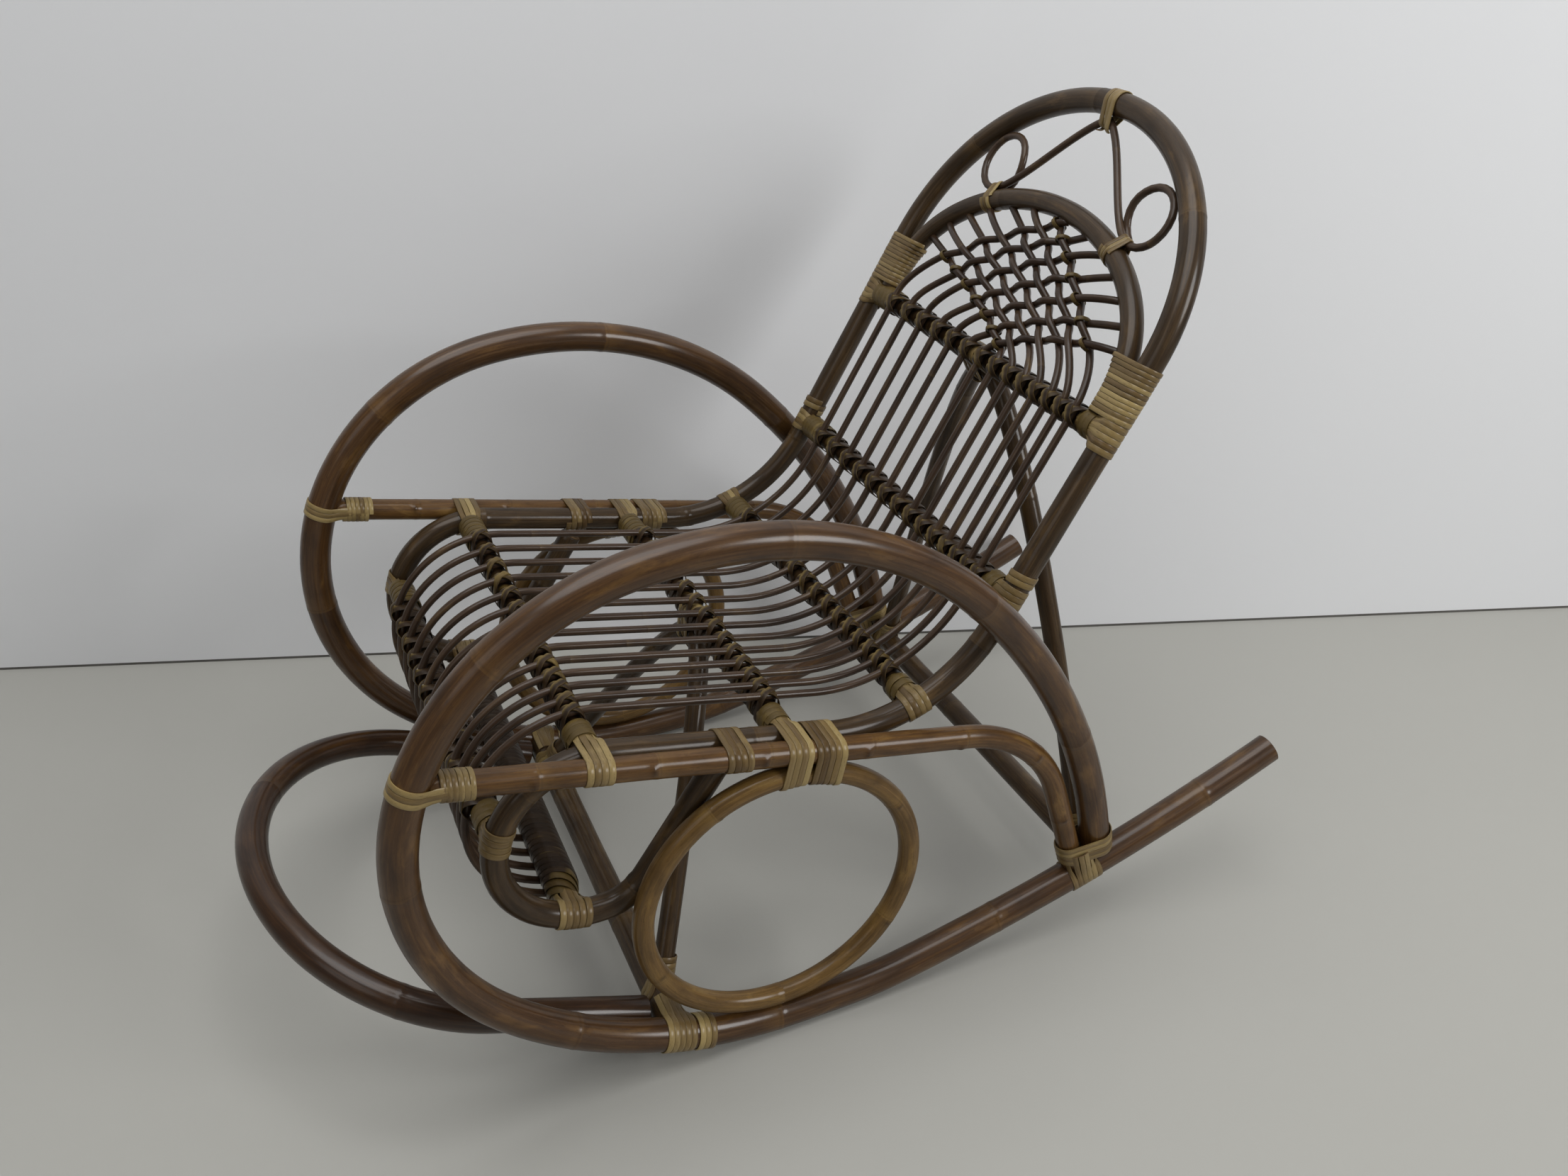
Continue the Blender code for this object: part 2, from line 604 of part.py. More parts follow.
# The poles and their copes
front_ends = [in_space(x, front_axis) for x in (-HALF_TRACK, HALF_TRACK)]
rear_ends = [in_space(x, rear_axis) for x in (-HALF_TRACK, HALF_TRACK)]
frame_cut = cutter("frame_cut", frame, FRAME_R, 8)
front_cut = cutter("front_stretcher_cut", front_ends, FRONT_STRETCHER_R, 8)
rear_cut = cutter("rear_stretcher_cut", rear_ends, REAR_STRETCHER_R, 8)
hoop_cuts = []
for label, side in SIDES:
    hoop_line = side_view(hoop, side * HALF_TRACK)
    hoop_cuts.append(cutter(f"hoop_cut_{label}", hoop_line, HOOP_R, 10))
    pole(f"hoop_{label}", hoop_line, HOOP_R, "hoop", 10)
    pole(f"seat_rail_{label}", side_view(rail, side * HALF_TRACK), RAIL_R, "rail", cutters=hoop_cuts[-1:])
    pole(f"side_ring_{label}", side_view(ring, side * HALF_TRACK), RING_R, "ring", closed=True)
pole("foot_loop", foot_loop, FOOT_LOOP_R, "hoop", 10)
pole("front_stretcher", front_ends, FRONT_STRETCHER_R, "brace", cutters=hoop_cuts)
pole("rear_stretcher", rear_ends, REAR_STRETCHER_R, "brace", cutters=hoop_cuts)
pole("seat_brace", seat_brace, BRACE_R, "brace", cutters=[front_cut])
pole("back_brace", back_brace, BRACE_R, "brace", cutters=[rear_cut])
pole("seat_back_frame", frame, FRAME_R, "frame")
pole("inner_arch", arch, ARCH_R, "frame")
pole("loop_ornament", ornament, ORNAMENT_R, "cane", 6)
for name, (place, half) in bars.items():
    pole(name, [in_space(-half, place), in_space(half, place)], BAR_R, "frame", cutters=[frame_cut])
for index in range(CANES):
    pole(f"cane_{index + 1:02d}", cane(index), CANE_R, "cane", 6)


def strap(name, side):
    """The strip that ties a rail to its hoop: round the hoop's front, its ends along the rail."""
    joint = in_space(side * HALF_TRACK, rail_start)
    below, above = nearest(hoop, rail_start)[1], nearest(hoop, rail_start + seat_up * RAIL_R)[1]
    rise = (above - below).normalized()
    axis, back = in_space(0, rise), in_space(0, Vector((rise.y, -rise.x)))
    step = (180 + 2 * STRAP_TURN) / STRAP_CORNERS
    reach = (HOOP_R + CLEAR) / math.cos(math.radians(step / 2))
    points = []
    for i in range(STRAP_CORNERS):
        turn = unit(step * (i + 0.5) - STRAP_TURN) * reach
        points.append(in_space(side * HALF_TRACK, below) - Vector((turn.x, 0, 0)) - back * turn.y)
    along = in_space(0, fall)
    beside = Vector((RAIL_R + CLEAR, 0, 0))
    ends = [joint + along * STRAP_JOIN, joint + along * STRAP_END]
    points = [p - beside for p in ends[::-1]] + points + [p + beside for p in ends]
    ribbon(name, points, axis, STRAP_W)


# Bindings
pitch = PEEL_W + PEEL_GAP
fine_pitch = NARROW_PEEL_W + PEEL_GAP
along = in_space(0, fall)
up_back = in_space(0, back_rise)
strap_r = math.hypot(RAIL_R + CLEAR + PEEL_T, STRAP_W / 2)
crease_run = unit(SEAT_REAR_BAR_SWEEP - SEAT_SLOPE)
scroll_run = unit(SCROLL_BAR_SWEEP - 90)
frame_only = [(frame, FRAME_R)]
for label, side in SIDES:
    plane = side * HALF_TRACK
    inward = Vector((-side, 0, 0))
    hoop_line, rail_line = side_view(hoop, plane), side_view(rail, plane)
    ring_line = side_view(ring, plane)
    pair = frame_only + [(rail_line, RAIL_R)]
    tie = rail_start + fall * (TIE_Y / fall.x)

    def bar_end(name):
        place, half = bars[name]
        return in_space(side * half, place)

    strap(f"strap_rail_front_{label}", side)
    winding(f"binding_rail_front_{label}", [(rail_line, strap_r)], in_space(plane, rail_start), along,
            inward, coil(STRAP_JOIN + NARROW_PEEL_W, 5, NARROW_PEEL_W), NARROW_PEEL_W)
    winding(f"binding_seat_front_{label}", pair, bar_end("bar_seat_front"), along, inward,
            past_branch(BAR_R, 1, 2))
    winding(f"binding_seat_tie_{label}", pair, in_space(side * seat_x, tie), along, inward,
            coil(-2 * pitch, 4))
    winding(f"binding_seat_middle_{label}", pair + [(ring_line, RING_R)], bar_end("bar_seat_middle"),
            along, inward, past_branch(BAR_R, 2, 2))
    winding(f"binding_seat_rear_{label}", frame_only, bar_end("bar_seat_rear"),
            in_space(0, crease_run), inward, past_branch(BAR_R, 1, 2))
    winding(f"binding_scroll_{label}", frame_only, bar_end("bar_scroll"), in_space(0, scroll_run),
            inward, past_branch(BAR_R, 1, 1))
    winding(f"binding_back_lower_{label}", frame_only, bar_end("bar_back_lower"), up_back, inward,
            coil(BAR_R + PEEL_W / 2 + BRANCH_GAP, 3))
    winding(f"binding_arch_foot_{label}", frame_only + [(arch, ARCH_R)], bar_end("bar_back_upper"),
            up_back, inward, coil(BAR_R + PEEL_W / 2 + BRANCH_GAP, 7))
    winding(f"binding_rear_foot_{label}",
            [(side_view(leg, plane), HOOP_R), (rail_line, RAIL_R)], in_space(plane, leg_foot),
            in_space(0, leg[-2] - leg[-1]), inward, coil(PEEL_W / 2 + BRANCH_GAP, 4))
    winding(f"binding_front_foot_{label}", [(hoop_line, HOOP_R)], in_space(plane, front_axis),
            in_space(0, on_rocker(FRONT_STRETCHER_Y)[1]), inward, past_branch(FRONT_STRETCHER_R, 1, 2))
    winding(f"binding_ornament_{label}", [(arch, ARCH_R), (ornament, ORNAMENT_R)],
            on_back(side * touch.x, touch.y), Vector((side * touch_run.x, 0, 0)) + up_back * touch_run.y,
            in_space(0, back_front), coil(-fine_pitch, 2, NARROW_PEEL_W), NARROW_PEEL_W)
winding("binding_ornament_top", frame_only + [(ornament, ORNAMENT_R)], on_back(0, SPRING_HEIGHT + ARCH_RISE),
        Vector((1, 0, 0)), -up_back, coil(-1.5 * pitch, 3))

# Stand the chair centred on the origin
bpy.context.view_layer.update()
depsgraph = bpy.context.evaluated_depsgraph_get()
corners = []
for piece in parts.objects:
    if piece.type == "MESH":
        shape = piece.evaluated_get(depsgraph)
        corners += [shape.matrix_world @ v.co for v in shape.data.vertices]
low = Vector([min(c[i] for c in corners) for i in range(3)])
high = Vector([max(c[i] for c in corners) for i in range(3)])
root.location = (-(low.x + high.x) / 2, -(low.y + high.y) / 2, -low.z)
bpy.context.view_layer.update()
print(f"size {high.x - low.x:.4f} {high.y - low.y:.4f} {high.z - low.z:.4f} m")
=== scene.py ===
"""Looks of a child's rattan rocking chair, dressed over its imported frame.

Metres, +Z up. The sitter faces -Y and +X is the sitter's left. The centre lines are laid out as in
the part's source: side views are (y, z), with y running back from the front end of the seat rail
and z up from the floor. SHIFT then moves them to where the frame's own pieces stand.
"""
import random
from math import atan2, ceil, copysign, cos, degrees, pi, radians, sin, sqrt, tan

import bpy
import numpy as np
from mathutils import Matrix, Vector


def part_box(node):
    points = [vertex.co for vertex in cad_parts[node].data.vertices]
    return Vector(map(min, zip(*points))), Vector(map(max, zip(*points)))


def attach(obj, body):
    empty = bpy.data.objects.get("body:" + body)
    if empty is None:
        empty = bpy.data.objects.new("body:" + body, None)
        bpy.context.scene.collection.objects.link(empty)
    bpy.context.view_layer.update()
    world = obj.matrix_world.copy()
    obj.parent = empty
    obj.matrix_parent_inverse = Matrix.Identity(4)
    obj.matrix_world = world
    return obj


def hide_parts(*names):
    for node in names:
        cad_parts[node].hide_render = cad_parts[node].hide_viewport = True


# Fits between pieces
CLEAR = 0.0003
WRAP_ROOM = 0.0030
CANE_LIFT = 0.0005
FOOT_GAP = 0.0020
BUTT = 0.8  # share of a pole's radius at which another butts into it

# Pole radii
HOOP_R = 0.0128
RAIL_R = 0.0090
RING_R = 0.0082
FRAME_R = 0.0095
FOOT_LOOP_R = 0.0122
FRONT_STRETCHER_R = 0.0115
REAR_STRETCHER_R = 0.0105
BRACE_R = 0.0082
ARCH_R = 0.0085
ORNAMENT_R = 0.0030
BAR_R = 0.0080
CANE_R = 0.0029

# Peel strips
PEEL_W = 0.0046
NARROW_PEEL_W = 0.0034
STRAP_W = 0.0040
LASH_W = 0.0060
WRAP_W = 0.0060  # strips that cover the scroll bar
TIE_W = 0.0032
PEEL_T = 0.0009
LASH_T = 0.0007
PEEL_GAP = 0.0002
BRANCH_GAP = 0.0006  # beside a pole that branches off

# Hoops
HALF_TRACK = 0.2000
LOW_Y = 0.2770
REST_FLAT = 0.0400
HEEL_BEND, HEEL_SWEEP, TOE_SWEEP = 0.3020, 10.5, 46.4
ROCKER_BEND, ROCKER_SWEEP = 1.6100, 13.3
FRONT_BEND, FRONT_SWEEP = 0.1980, 126.8
ARM_BEND, ARM_SWEEP = 0.2840, 52.5
LEG_BEND = 0.5035
LEG_SEARCH, LEG_STEP, LEG_STRIDE = 60.0, 0.1, 15

# Seat rails and side rings
RAIL_FRONT_Z = 0.3210
SEAT_SLOPE = 12.0
RAIL_LEAN = 18.0
RAIL_BEND = 0.1200
RING_Y = 0.2447

# Seat and back frame
NOSE_Y = 0.1300
NOSE_BEND = 0.0700
SCROLL_BEND = 0.0640
SCROLL_RUN = 0.0050
TAIL_BEND, TAIL_SWEEP = 0.0400, 55.0
CREASE_Y = 0.2918
CREASE_BEND = 0.1300
BACK_RECLINE = 30.7
BACK_INSET = 0.0018
SPRING_HEIGHT = 0.2050
ARCH_RISE = 0.1600

# Inner arch, looped ornament and lattice
INNER_SPRING_HEIGHT = 0.1750
INNER_RISE = 0.1040
LOOP_INSET = 0.0621
LOOP_SWEEP = 303.0
LOOP_TUCK, LOOP_DIVE = 47.0, 90.0  # the loop's end runs on behind the strand
LOOP_SINK = 2.1  # in the cane's radii
STRAND_TOP_OUT = 0.0280
STRAND_TOP_DROP = 0.0118
STRAND_END_PULL = 0.0275
LATTICE_FIRST, LATTICE_STEP = 3.5, 10.8
LATTICE_SKEW = 3.9
LATTICE_LEAVE = 0.0055
LATTICE_LEAN, LATTICE_LEAN_STEP = -2.8, 6.4
LATTICE_LEAN_SKEW = 8.7
LATTICE_PULL = 0.236
LATTICE_DISH = 0.0350
WEAVE_GAP = 0.0002  # between two canes that cross

# Bars, placed along the frame
SEAT_FRONT_BAR_SWEEP = 12.0
NOSE_BAR_SWEEP = 83.0
SCROLL_BAR_SWEEP = 75.0
SEAT_MIDDLE_BAR_Y = 0.2566
SEAT_REAR_BAR_SWEEP = 31.0
BACK_LOWER_BAR_HEIGHT = 0.0156
BACK_UPPER_BAR_HEIGHT = 0.1510

# Canes
CANES = 14
CANE_MARGIN = 0.0019
CANE_INSET = 0.0178
CANE_CROWD = 0.33
CANE_END_SWEEP = 8.0

# Foot loop, stretchers and braces
FOOT_SLOPE = 23.0
FOOT_END_Y = 0.1326
FOOT_END_Z = 0.0387
FOOT_TURN_Y = 0.0300
FOOT_REACH = 0.1500
FOOT_RUN_ON = 0.0090
FRONT_STRETCHER_Y = 0.1575
REAR_STRETCHER_Y = 0.5356
SEAT_BRACE_INSET = 0.0400
SEAT_BRACE_TOP_PULL = 0.0300
SEAT_BRACE_FOOT_SHARE = 0.5
BACK_BRACE_DROP = 53.0
BACK_BRACE_TOP_PULL = 0.0350
BACK_BRACE_FOOT_PULL = 0.2000
BACK_BRACE_LEAN = 19.0
TIE_Y = 0.2119

# Strap of the rail's front joint
STRAP_JOIN = 0.0170
STRAP_END = 0.0360

# Sampling
BEND_STEP = 2.5  # degrees
ROCKER_STEP = 0.5
RING_STEP = 3
LOOP_STEP = 5
CURVE_POINTS = 40
LATTICE_POINTS = 60
ROCKER_TOE = 20  # points of the hoop's front that the rocker's line takes in
POLE_STEP = 0.006
WRAP_SAMPLES = 40
HOOK_SAMPLES = 30
LEG_SAMPLES = 6

# Wound strips, and strips hooked round a pole with their ends along a stem
HOOK_START = 62.0  # degrees off the stem, where a strip leaves it
HOOK_LOW = 0.4  # least height of a strip's end, in the stem's radii
HOOK_MEET, HOOK_REACH = 0.25, 0.8  # where the ends come down to the stem, in shares of their run
STEM = 0.0180  # how far the ends run along the stem
GATHER, CLOSE_GATHER = 0.8, 0.6  # how far the strips close up on the stem
TURN_STRAY = 0.0002
TURN_PROUD = 0.0002
PEEL_PALE = 1.0
STRIP_SHAPE = ((-0.5, 0), (-0.49, 0.7), (-0.4, 0.94), (0, 1), (0.4, 0.94), (0.49, 0.7), (0.5, 0))
STRIP_EDGE_HIGHLIGHT = (0.3, 1, 0.7, 0, 0, 0.2, 0.3)  # painted highlight: where the strip's pale rim shows, as if light caught its edge

# Lashings over the bars: past a cane's middle, along it, and down from its top
LASH_OVER = ((-0.0052, -0.0068, 0.0043), (-0.0026, -0.0038, 0.0002), (0, 0, -0.0002),
             (0.0026, 0.0038, 0.0002), (0.0052, 0.0068, 0.0043))
LASH_FOOT, LASH_ANGLE = 0.0070, 70.0
LASH_FOOT_SHARE = 0.40  # of the room between two canes, at most
LASH_END_PALE = 0.4
LASH_TURN, LASH_BACK, LASH_PARTS = 8, 6, 4  # steps in a turn, on the way back, between two points
COVER_STRIPS, COVER_RISE = 7, 0.0400  # strips over the scroll bar, and their rise in a turn
COVER_SAMPLES = 32
COVER_SHADE = 0.8
COVER_GAP = 0.0001
COVER_FAT, COVER_TAPER = 0.45, 0.0150  # growth of the scroll bar's sleeve, and its run at the ends
TIE_HALF, TIE_DEEP = 0.0048, 0.0066
TIE_RANKS = (0, 6)  # the upright canes that are tied, counted from the edge
TIE_LEAN, TIE_TURNS, TIE_SAMPLES = 40, 1.15, 40
TIE_OPEN, TIE_PALE = 0.005, 0.25

# Photograph's camera
CAMERA_PLACE = (0.8482, -0.3398, 0.8259)
CAMERA_AZIMUTH = 65.872
CAMERA_PITCH = 30.874
CAMERA_LENS, CAMERA_SENSOR = 29.856, 36  # millimetres

SIDES = (("left", 1), ("right", -1))

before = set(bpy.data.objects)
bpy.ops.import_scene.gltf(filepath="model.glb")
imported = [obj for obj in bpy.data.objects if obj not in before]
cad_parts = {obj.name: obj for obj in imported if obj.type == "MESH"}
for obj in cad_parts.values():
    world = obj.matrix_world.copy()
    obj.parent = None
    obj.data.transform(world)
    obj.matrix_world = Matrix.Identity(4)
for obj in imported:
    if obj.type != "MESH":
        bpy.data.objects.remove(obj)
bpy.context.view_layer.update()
scene = bpy.context.scene


def ease(share):
    return share * share * (3 - 2 * share)


def run_length(points):
    """How far along a line of points each of them lies."""
    return np.concatenate([[0], np.cumsum(np.linalg.norm(np.diff(points, axis=0), axis=1))])


def normal(vectors):
    return vectors / np.linalg.norm(vectors, axis=-1, keepdims=True)


def stand(name, data):
    """A new object in the scene."""
    made = bpy.data.objects.new(name, data)
    scene.collection.objects.link(made)
    return made


def unit(turn):
    """The direction at an angle in degrees."""
    return Vector((cos(radians(turn)), sin(radians(turn))))


def route(start, heading, moves, step=BEND_STEP):
    """Side view of a bent pole: (length,) runs straight, (radius, sweep) bends, left positive."""
    points = [Vector(start)]
    for move in moves:
        if len(move) == 1:
            points.append(points[-1] + unit(heading) * move[0])
            continue
        radius, sweep = move
        side = copysign(90, sweep)
        centre = points[-1] + unit(heading + side) * radius
        count = max(2, ceil(abs(sweep) / step))
        turns = [heading + sweep * i / count for i in range(1, count + 1)]
        points += [centre - unit(turn + side) * radius for turn in turns]
        heading += sweep
    return points


def bezier(a, b, c, d, count):
    """Points of a cubic curve, both ends included."""
    shares = [i / count for i in range(count + 1)]
    return [a * (1 - t) ** 3 + b * 3 * t * (1 - t) ** 2 + c * 3 * t * t * (1 - t) + d * t ** 3
            for t in shares]


def oval(wide, base, high, step=BEND_STEP, sweep=90):
    """Points of an oval's upper part, from its right end on."""
    turns = [unit(step * i) for i in range(round(sweep / step) + 1)]
    return [Vector((wide * turn.x, base + high * turn.y)) for turn in turns]


def nearest(points, place):
    """Distance from a place to a line of points, and the nearest point on it."""
    best = None
    for a, b in zip(points, points[1:]):
        run = b - a
        share = min(1, max(0, (place - a).dot(run) / run.length_squared))
        hit = a + run * share
        if best is None or (place - hit).length < best[0]:
            best = ((place - hit).length, hit)
    return best


def nested_circle(across, low, high, below, below_room, above, above_room):
    """Height and radius of the circle at `across` that touches the lines below and above."""
    for _ in range(60):
        height = (low + high) / 2
        under = nearest(below, Vector((across, height)))[0] - below_room
        over = nearest(above, Vector((across, height)))[0] - above_room
        if under < over:
            low = height
        else:
            high = height
    return height, under


def in_space(x, p):
    return Vector((x, p.x, p.y))


def side_view(points, x):
    return [in_space(x, p) for p in points]


def mirrored(half):
    """A line that ends on the middle, carried on over the other side."""
    return half + [Vector((-p[0], *p[1:])) for p in half[-2::-1]]


def crosswise(half, place):
    """The two ends of a straight pole across the chair."""
    return [in_space(-half, place), in_space(half, place)]


def trimmed(line, length):
    """A line of points with a length cut off both ends."""
    for _ in range(2):
        cut, line = length, list(line)
        while cut > (line[1] - line[0]).length:
            cut -= (line[1] - line[0]).length
            line.pop(0)
        line[0] = line[0] + (line[1] - line[0]).normalized() * cut
        line.reverse()
    return line


# Hoops, from the rocker's rear tip round to the foot of the rear leg
rest_end = Vector((LOW_Y + REST_FLAT / 2, HOOP_R))
rear = route(rest_end, 0, [(HEEL_BEND, HEEL_SWEEP), (ROCKER_BEND, ROCKER_SWEEP)], ROCKER_STEP)
front = route(rest_end, 180, [(REST_FLAT,), (HEEL_BEND, -TOE_SWEEP), (FRONT_BEND, -FRONT_SWEEP),
                              (ARM_BEND, -ARM_SWEEP)])
leg_heading = 180 - TOE_SWEEP - FRONT_SWEEP - ARM_SWEEP
leg_line = route(front[-1], leg_heading, [(LEG_BEND, -LEG_SEARCH)], LEG_STEP)
leg_count = next(i for i, p in enumerate(leg_line) if nearest(rear, p)[0] < HOOP_R + FOOT_GAP)
leg = leg_line[LEG_STRIDE:leg_count - LEG_STRIDE // 2:LEG_STRIDE] + [leg_line[leg_count - 1]]
rocker = rear[::-1] + front[1:ROCKER_TOE]
hoop = rear[::-1] + front[1:] + leg


def on_rocker(y):
    """Point of the rocker's centre line at a given y, and the direction it runs back in."""
    for a, b in zip(rocker, rocker[1:]):
        if b.x <= y <= a.x:
            return a.lerp(b, (y - a.x) / (b.x - a.x)), (a - b).normalized()


# Seat rails
fall = unit(-SEAT_SLOPE)
rail_start = Vector((0, RAIL_FRONT_Z))
leg_foot = leg[-1]
rail_foot = leg_foot - on_rocker(leg_foot.x)[1] * (HOOP_R + RAIL_R + 3 * CLEAR)
rail_rise = unit(90 + RAIL_LEAN)
rail_turn = 90 - RAIL_LEAN - SEAT_SLOPE
corner_run = ((rail_foot.x - rail_start.x) * rail_rise.y - (rail_foot.y - rail_start.y) * rail_rise.x)
corner_run /= fall.x * rail_rise.y - fall.y * rail_rise.x
cut_back = RAIL_BEND * tan(radians(rail_turn / 2))
drop = (rail_start + fall * corner_run - rail_foot).length - cut_back
rail = route(rail_start, -SEAT_SLOPE, [(corner_run - cut_back,), (RAIL_BEND, -rail_turn), (drop + HOOP_R,)])

# Side rings
ring_low, ring_high = on_rocker(RING_Y)[0].y, rail_start.y
ring_z, ring_bend = nested_circle(RING_Y, ring_low, ring_high, rocker, HOOP_R + RING_R + CLEAR,
                                  rail, RAIL_R + RING_R + CLEAR)
ring = [Vector((RING_Y, ring_z)) + unit(-90 + RING_STEP * i) * ring_bend for i in range(360 // RING_STEP)]

# Seat and back frame
seat_x = HALF_TRACK - RAIL_R - FRAME_R - CLEAR
back_x = HALF_TRACK - HOOP_R - FRAME_R - BACK_INSET
nose_start = rail_start + fall * (NOSE_Y / fall.x)
seat_run = (CREASE_Y - NOSE_Y) / fall.x
crease_sweep = SEAT_SLOPE + 90 - BACK_RECLINE
nose_moves = [(NOSE_BEND, 90 + SEAT_SLOPE), (SCROLL_BEND, 90), (SCROLL_RUN,), (TAIL_BEND, TAIL_SWEEP)]
scroll = route(nose_start, 180 - SEAT_SLOPE, nose_moves)
seat_up = unit(90 - SEAT_SLOPE)
tail_run = unit(TAIL_SWEEP)
tail_tilt = sqrt(1 - tail_run.dot(seat_up) ** 2)
tail_room = FRAME_R + WRAP_ROOM + FRAME_R * tail_tilt
tail = ((nose_start - scroll[-1]).dot(seat_up) - tail_room) / tail_run.dot(seat_up)
scroll.append(scroll[-1] + tail_run * tail)
crease = route(nose_start, -SEAT_SLOPE, [(seat_run,), (CREASE_BEND, crease_sweep)])
back_start = crease[-1]
back_rise = unit(90 - BACK_RECLINE)
back_front = unit(180 - BACK_RECLINE)


def on_back(x, up, proud=0.0):
    """A point of the back from its distance off the middle, up the back and out to the sitter."""
    return in_space(x, back_start + back_rise * up + back_front * proud)


frame_half = side_view(scroll[::-1], seat_x)
for i, p in enumerate(crease[1:]):
    frame_half.append(in_space(seat_x + (back_x - seat_x) * i / (len(crease) - 2), p))
frame_half += [on_back(p.x, p.y) for p in oval(back_x, SPRING_HEIGHT, ARCH_RISE)]
frame_line = mirrored(frame_half)

# Inner arch
arch_x = back_x - FRAME_R - ARCH_R - CLEAR
arch_half = [Vector((arch_x, BACK_UPPER_BAR_HEIGHT + BAR_R + CLEAR))]
arch_half += oval(arch_x, INNER_SPRING_HEIGHT, INNER_RISE)
arch_flat = mirrored(arch_half)
arch = [on_back(p.x, p.y) for p in arch_flat]

# Looped ornament
top_flat = oval(back_x, SPRING_HEIGHT, ARCH_RISE, LOOP_STEP)
loop_x = arch_x - LOOP_INSET
loop_up, loop_bend = nested_circle(loop_x, INNER_SPRING_HEIGHT, SPRING_HEIGHT + ARCH_RISE, arch_flat,
                                   ARCH_R + ORNAMENT_R + CLEAR, top_flat, FRAME_R + ORNAMENT_R + CLEAR)
apex = Vector((0, SPRING_HEIGHT + ARCH_RISE - FRAME_R - ORNAMENT_R - CLEAR))
loop_centre = Vector((loop_x, loop_up))
touch = nearest(arch_flat, loop_centre)[1]
touch_out = (loop_centre - touch).normalized()
touch_run = Vector((touch_out.y, -touch_out.x))
loop_foot = loop_centre - touch_out * loop_bend
pull = Vector((STRAND_TOP_OUT, -STRAND_TOP_DROP))
strand = bezier(apex, apex + pull, loop_foot - touch_run * STRAND_END_PULL, loop_foot, CURVE_POINTS)
loop_heading = degrees(atan2(touch_run.y, touch_run.x))
loop_line = route(loop_foot, loop_heading, [(loop_bend, LOOP_SWEEP + LOOP_TUCK)], LOOP_STEP)[1:]
ornament_half = [Vector((p.x, p.y, 0)) for p in strand]
for i, p in enumerate(loop_line):
    tuck = max(0, LOOP_STEP * (i + 1) - (LOOP_SWEEP + LOOP_TUCK - LOOP_DIVE)) / LOOP_DIVE
    ornament_half.append(Vector((p.x, p.y, -LOOP_SINK * ORNAMENT_R * ease(tuck))))
ornament = [on_back(*p) for p in mirrored(ornament_half[::-1])[::-1]]

# Bars across the frame
crease_share = SEAT_REAR_BAR_SWEEP / crease_sweep
roll = (nose_start, 180 - SEAT_SLOPE)
bars = {
    "bar_nose": (route(*roll, [(NOSE_BEND, NOSE_BAR_SWEEP)])[-1], seat_x),
    "bar_scroll": (route(*roll, nose_moves[:1] + [(SCROLL_BEND, SCROLL_BAR_SWEEP)])[-1], seat_x),
    "bar_seat_front": (route(*roll, [(NOSE_BEND, SEAT_FRONT_BAR_SWEEP)])[-1], seat_x),
    "bar_seat_middle": (rail_start + fall * (SEAT_MIDDLE_BAR_Y / fall.x), seat_x),
    "bar_seat_rear": (route(nose_start, -SEAT_SLOPE, [(seat_run,), (CREASE_BEND, SEAT_REAR_BAR_SWEEP)])[-1],
                      seat_x + (back_x - seat_x) * crease_share),
    "bar_back_lower": (back_start + back_rise * BACK_LOWER_BAR_HEIGHT, back_x),
    "bar_back_upper": (back_start + back_rise * BACK_UPPER_BAR_HEIGHT, back_x),
}

# Canes
cane_edge = arch_x - ARCH_R - CANE_R - CANE_MARGIN
cane_span = 2 * cane_edge - CANE_INSET
cane_shares = [i / (CANES - 1) for i in range(CANES)]
cane_xs = [CANE_INSET - cane_edge + cane_span * share * (1 + CANE_CROWD * (1 - share))
           for share in cane_shares]
cane_ranks = [min(i, CANES - 1 - i) for i in range(CANES)]
cane_off = BAR_R + CANE_R + CANE_LIFT
cane_start = nose_start + seat_up * cane_off
cane_scroll = route(cane_start, 180 - SEAT_SLOPE,
                    [(NOSE_BEND + cane_off, 90 + SEAT_SLOPE),
                     (SCROLL_BEND + cane_off, SCROLL_BAR_SWEEP + CANE_END_SWEEP)])
cane_seat = route(cane_start, -SEAT_SLOPE, [(seat_run,), (CREASE_BEND - cane_off, crease_sweep)])
cane_side = cane_scroll[::-1] + cane_seat[1:]


def dish(x, up):
    """How far the middle of the lattice stands out to the sitter."""
    away = nearest(arch_flat, Vector((x, up)))[0] - ARCH_R
    return BAR_R * min(1, max(0, away / LATTICE_DISH))


def lattice_flat(index):
    """A cane's run in the plane of the back, from the upper bar to the far arch."""
    side = 1 if index >= CANES / 2 else -1
    rank, x = cane_ranks[index], cane_xs[index]
    turn = radians(LATTICE_FIRST - side * LATTICE_SKEW + LATTICE_STEP * rank)
    across = Vector((-side * sin(turn) * INNER_RISE, cos(turn) * arch_x)).normalized()
    end = Vector((-side * arch_x * sin(turn), INNER_SPRING_HEIGHT + INNER_RISE * cos(turn)))
    end -= across * (ARCH_R * BUTT)
    start = Vector((x, BACK_UPPER_BAR_HEIGHT + LATTICE_LEAVE))
    lean = unit(90 + side * (LATTICE_LEAN + side * LATTICE_LEAN_SKEW + LATTICE_LEAN_STEP * rank))
    return bezier(start, start + lean * (end - start).length * LATTICE_PULL, end, end, LATTICE_POINTS)


def meeting(one, other):
    """Where two flat lines cross: the step on each, and the point."""
    for i, (a, b) in enumerate(zip(one, one[1:])):
        for j, (c, d) in enumerate(zip(other, other[1:])):
            u, v, w = b - a, d - c, c - a
            spread = u.x * v.y - u.y * v.x
            if abs(spread) < 1e-12:
                continue
            t, k = (w.x * v.y - w.y * v.x) / spread, (w.x * u.y - w.y * u.x) / spread
            if 0 <= t < 1 and 0 <= k < 1:
                return i + t, j + k, a + u * t


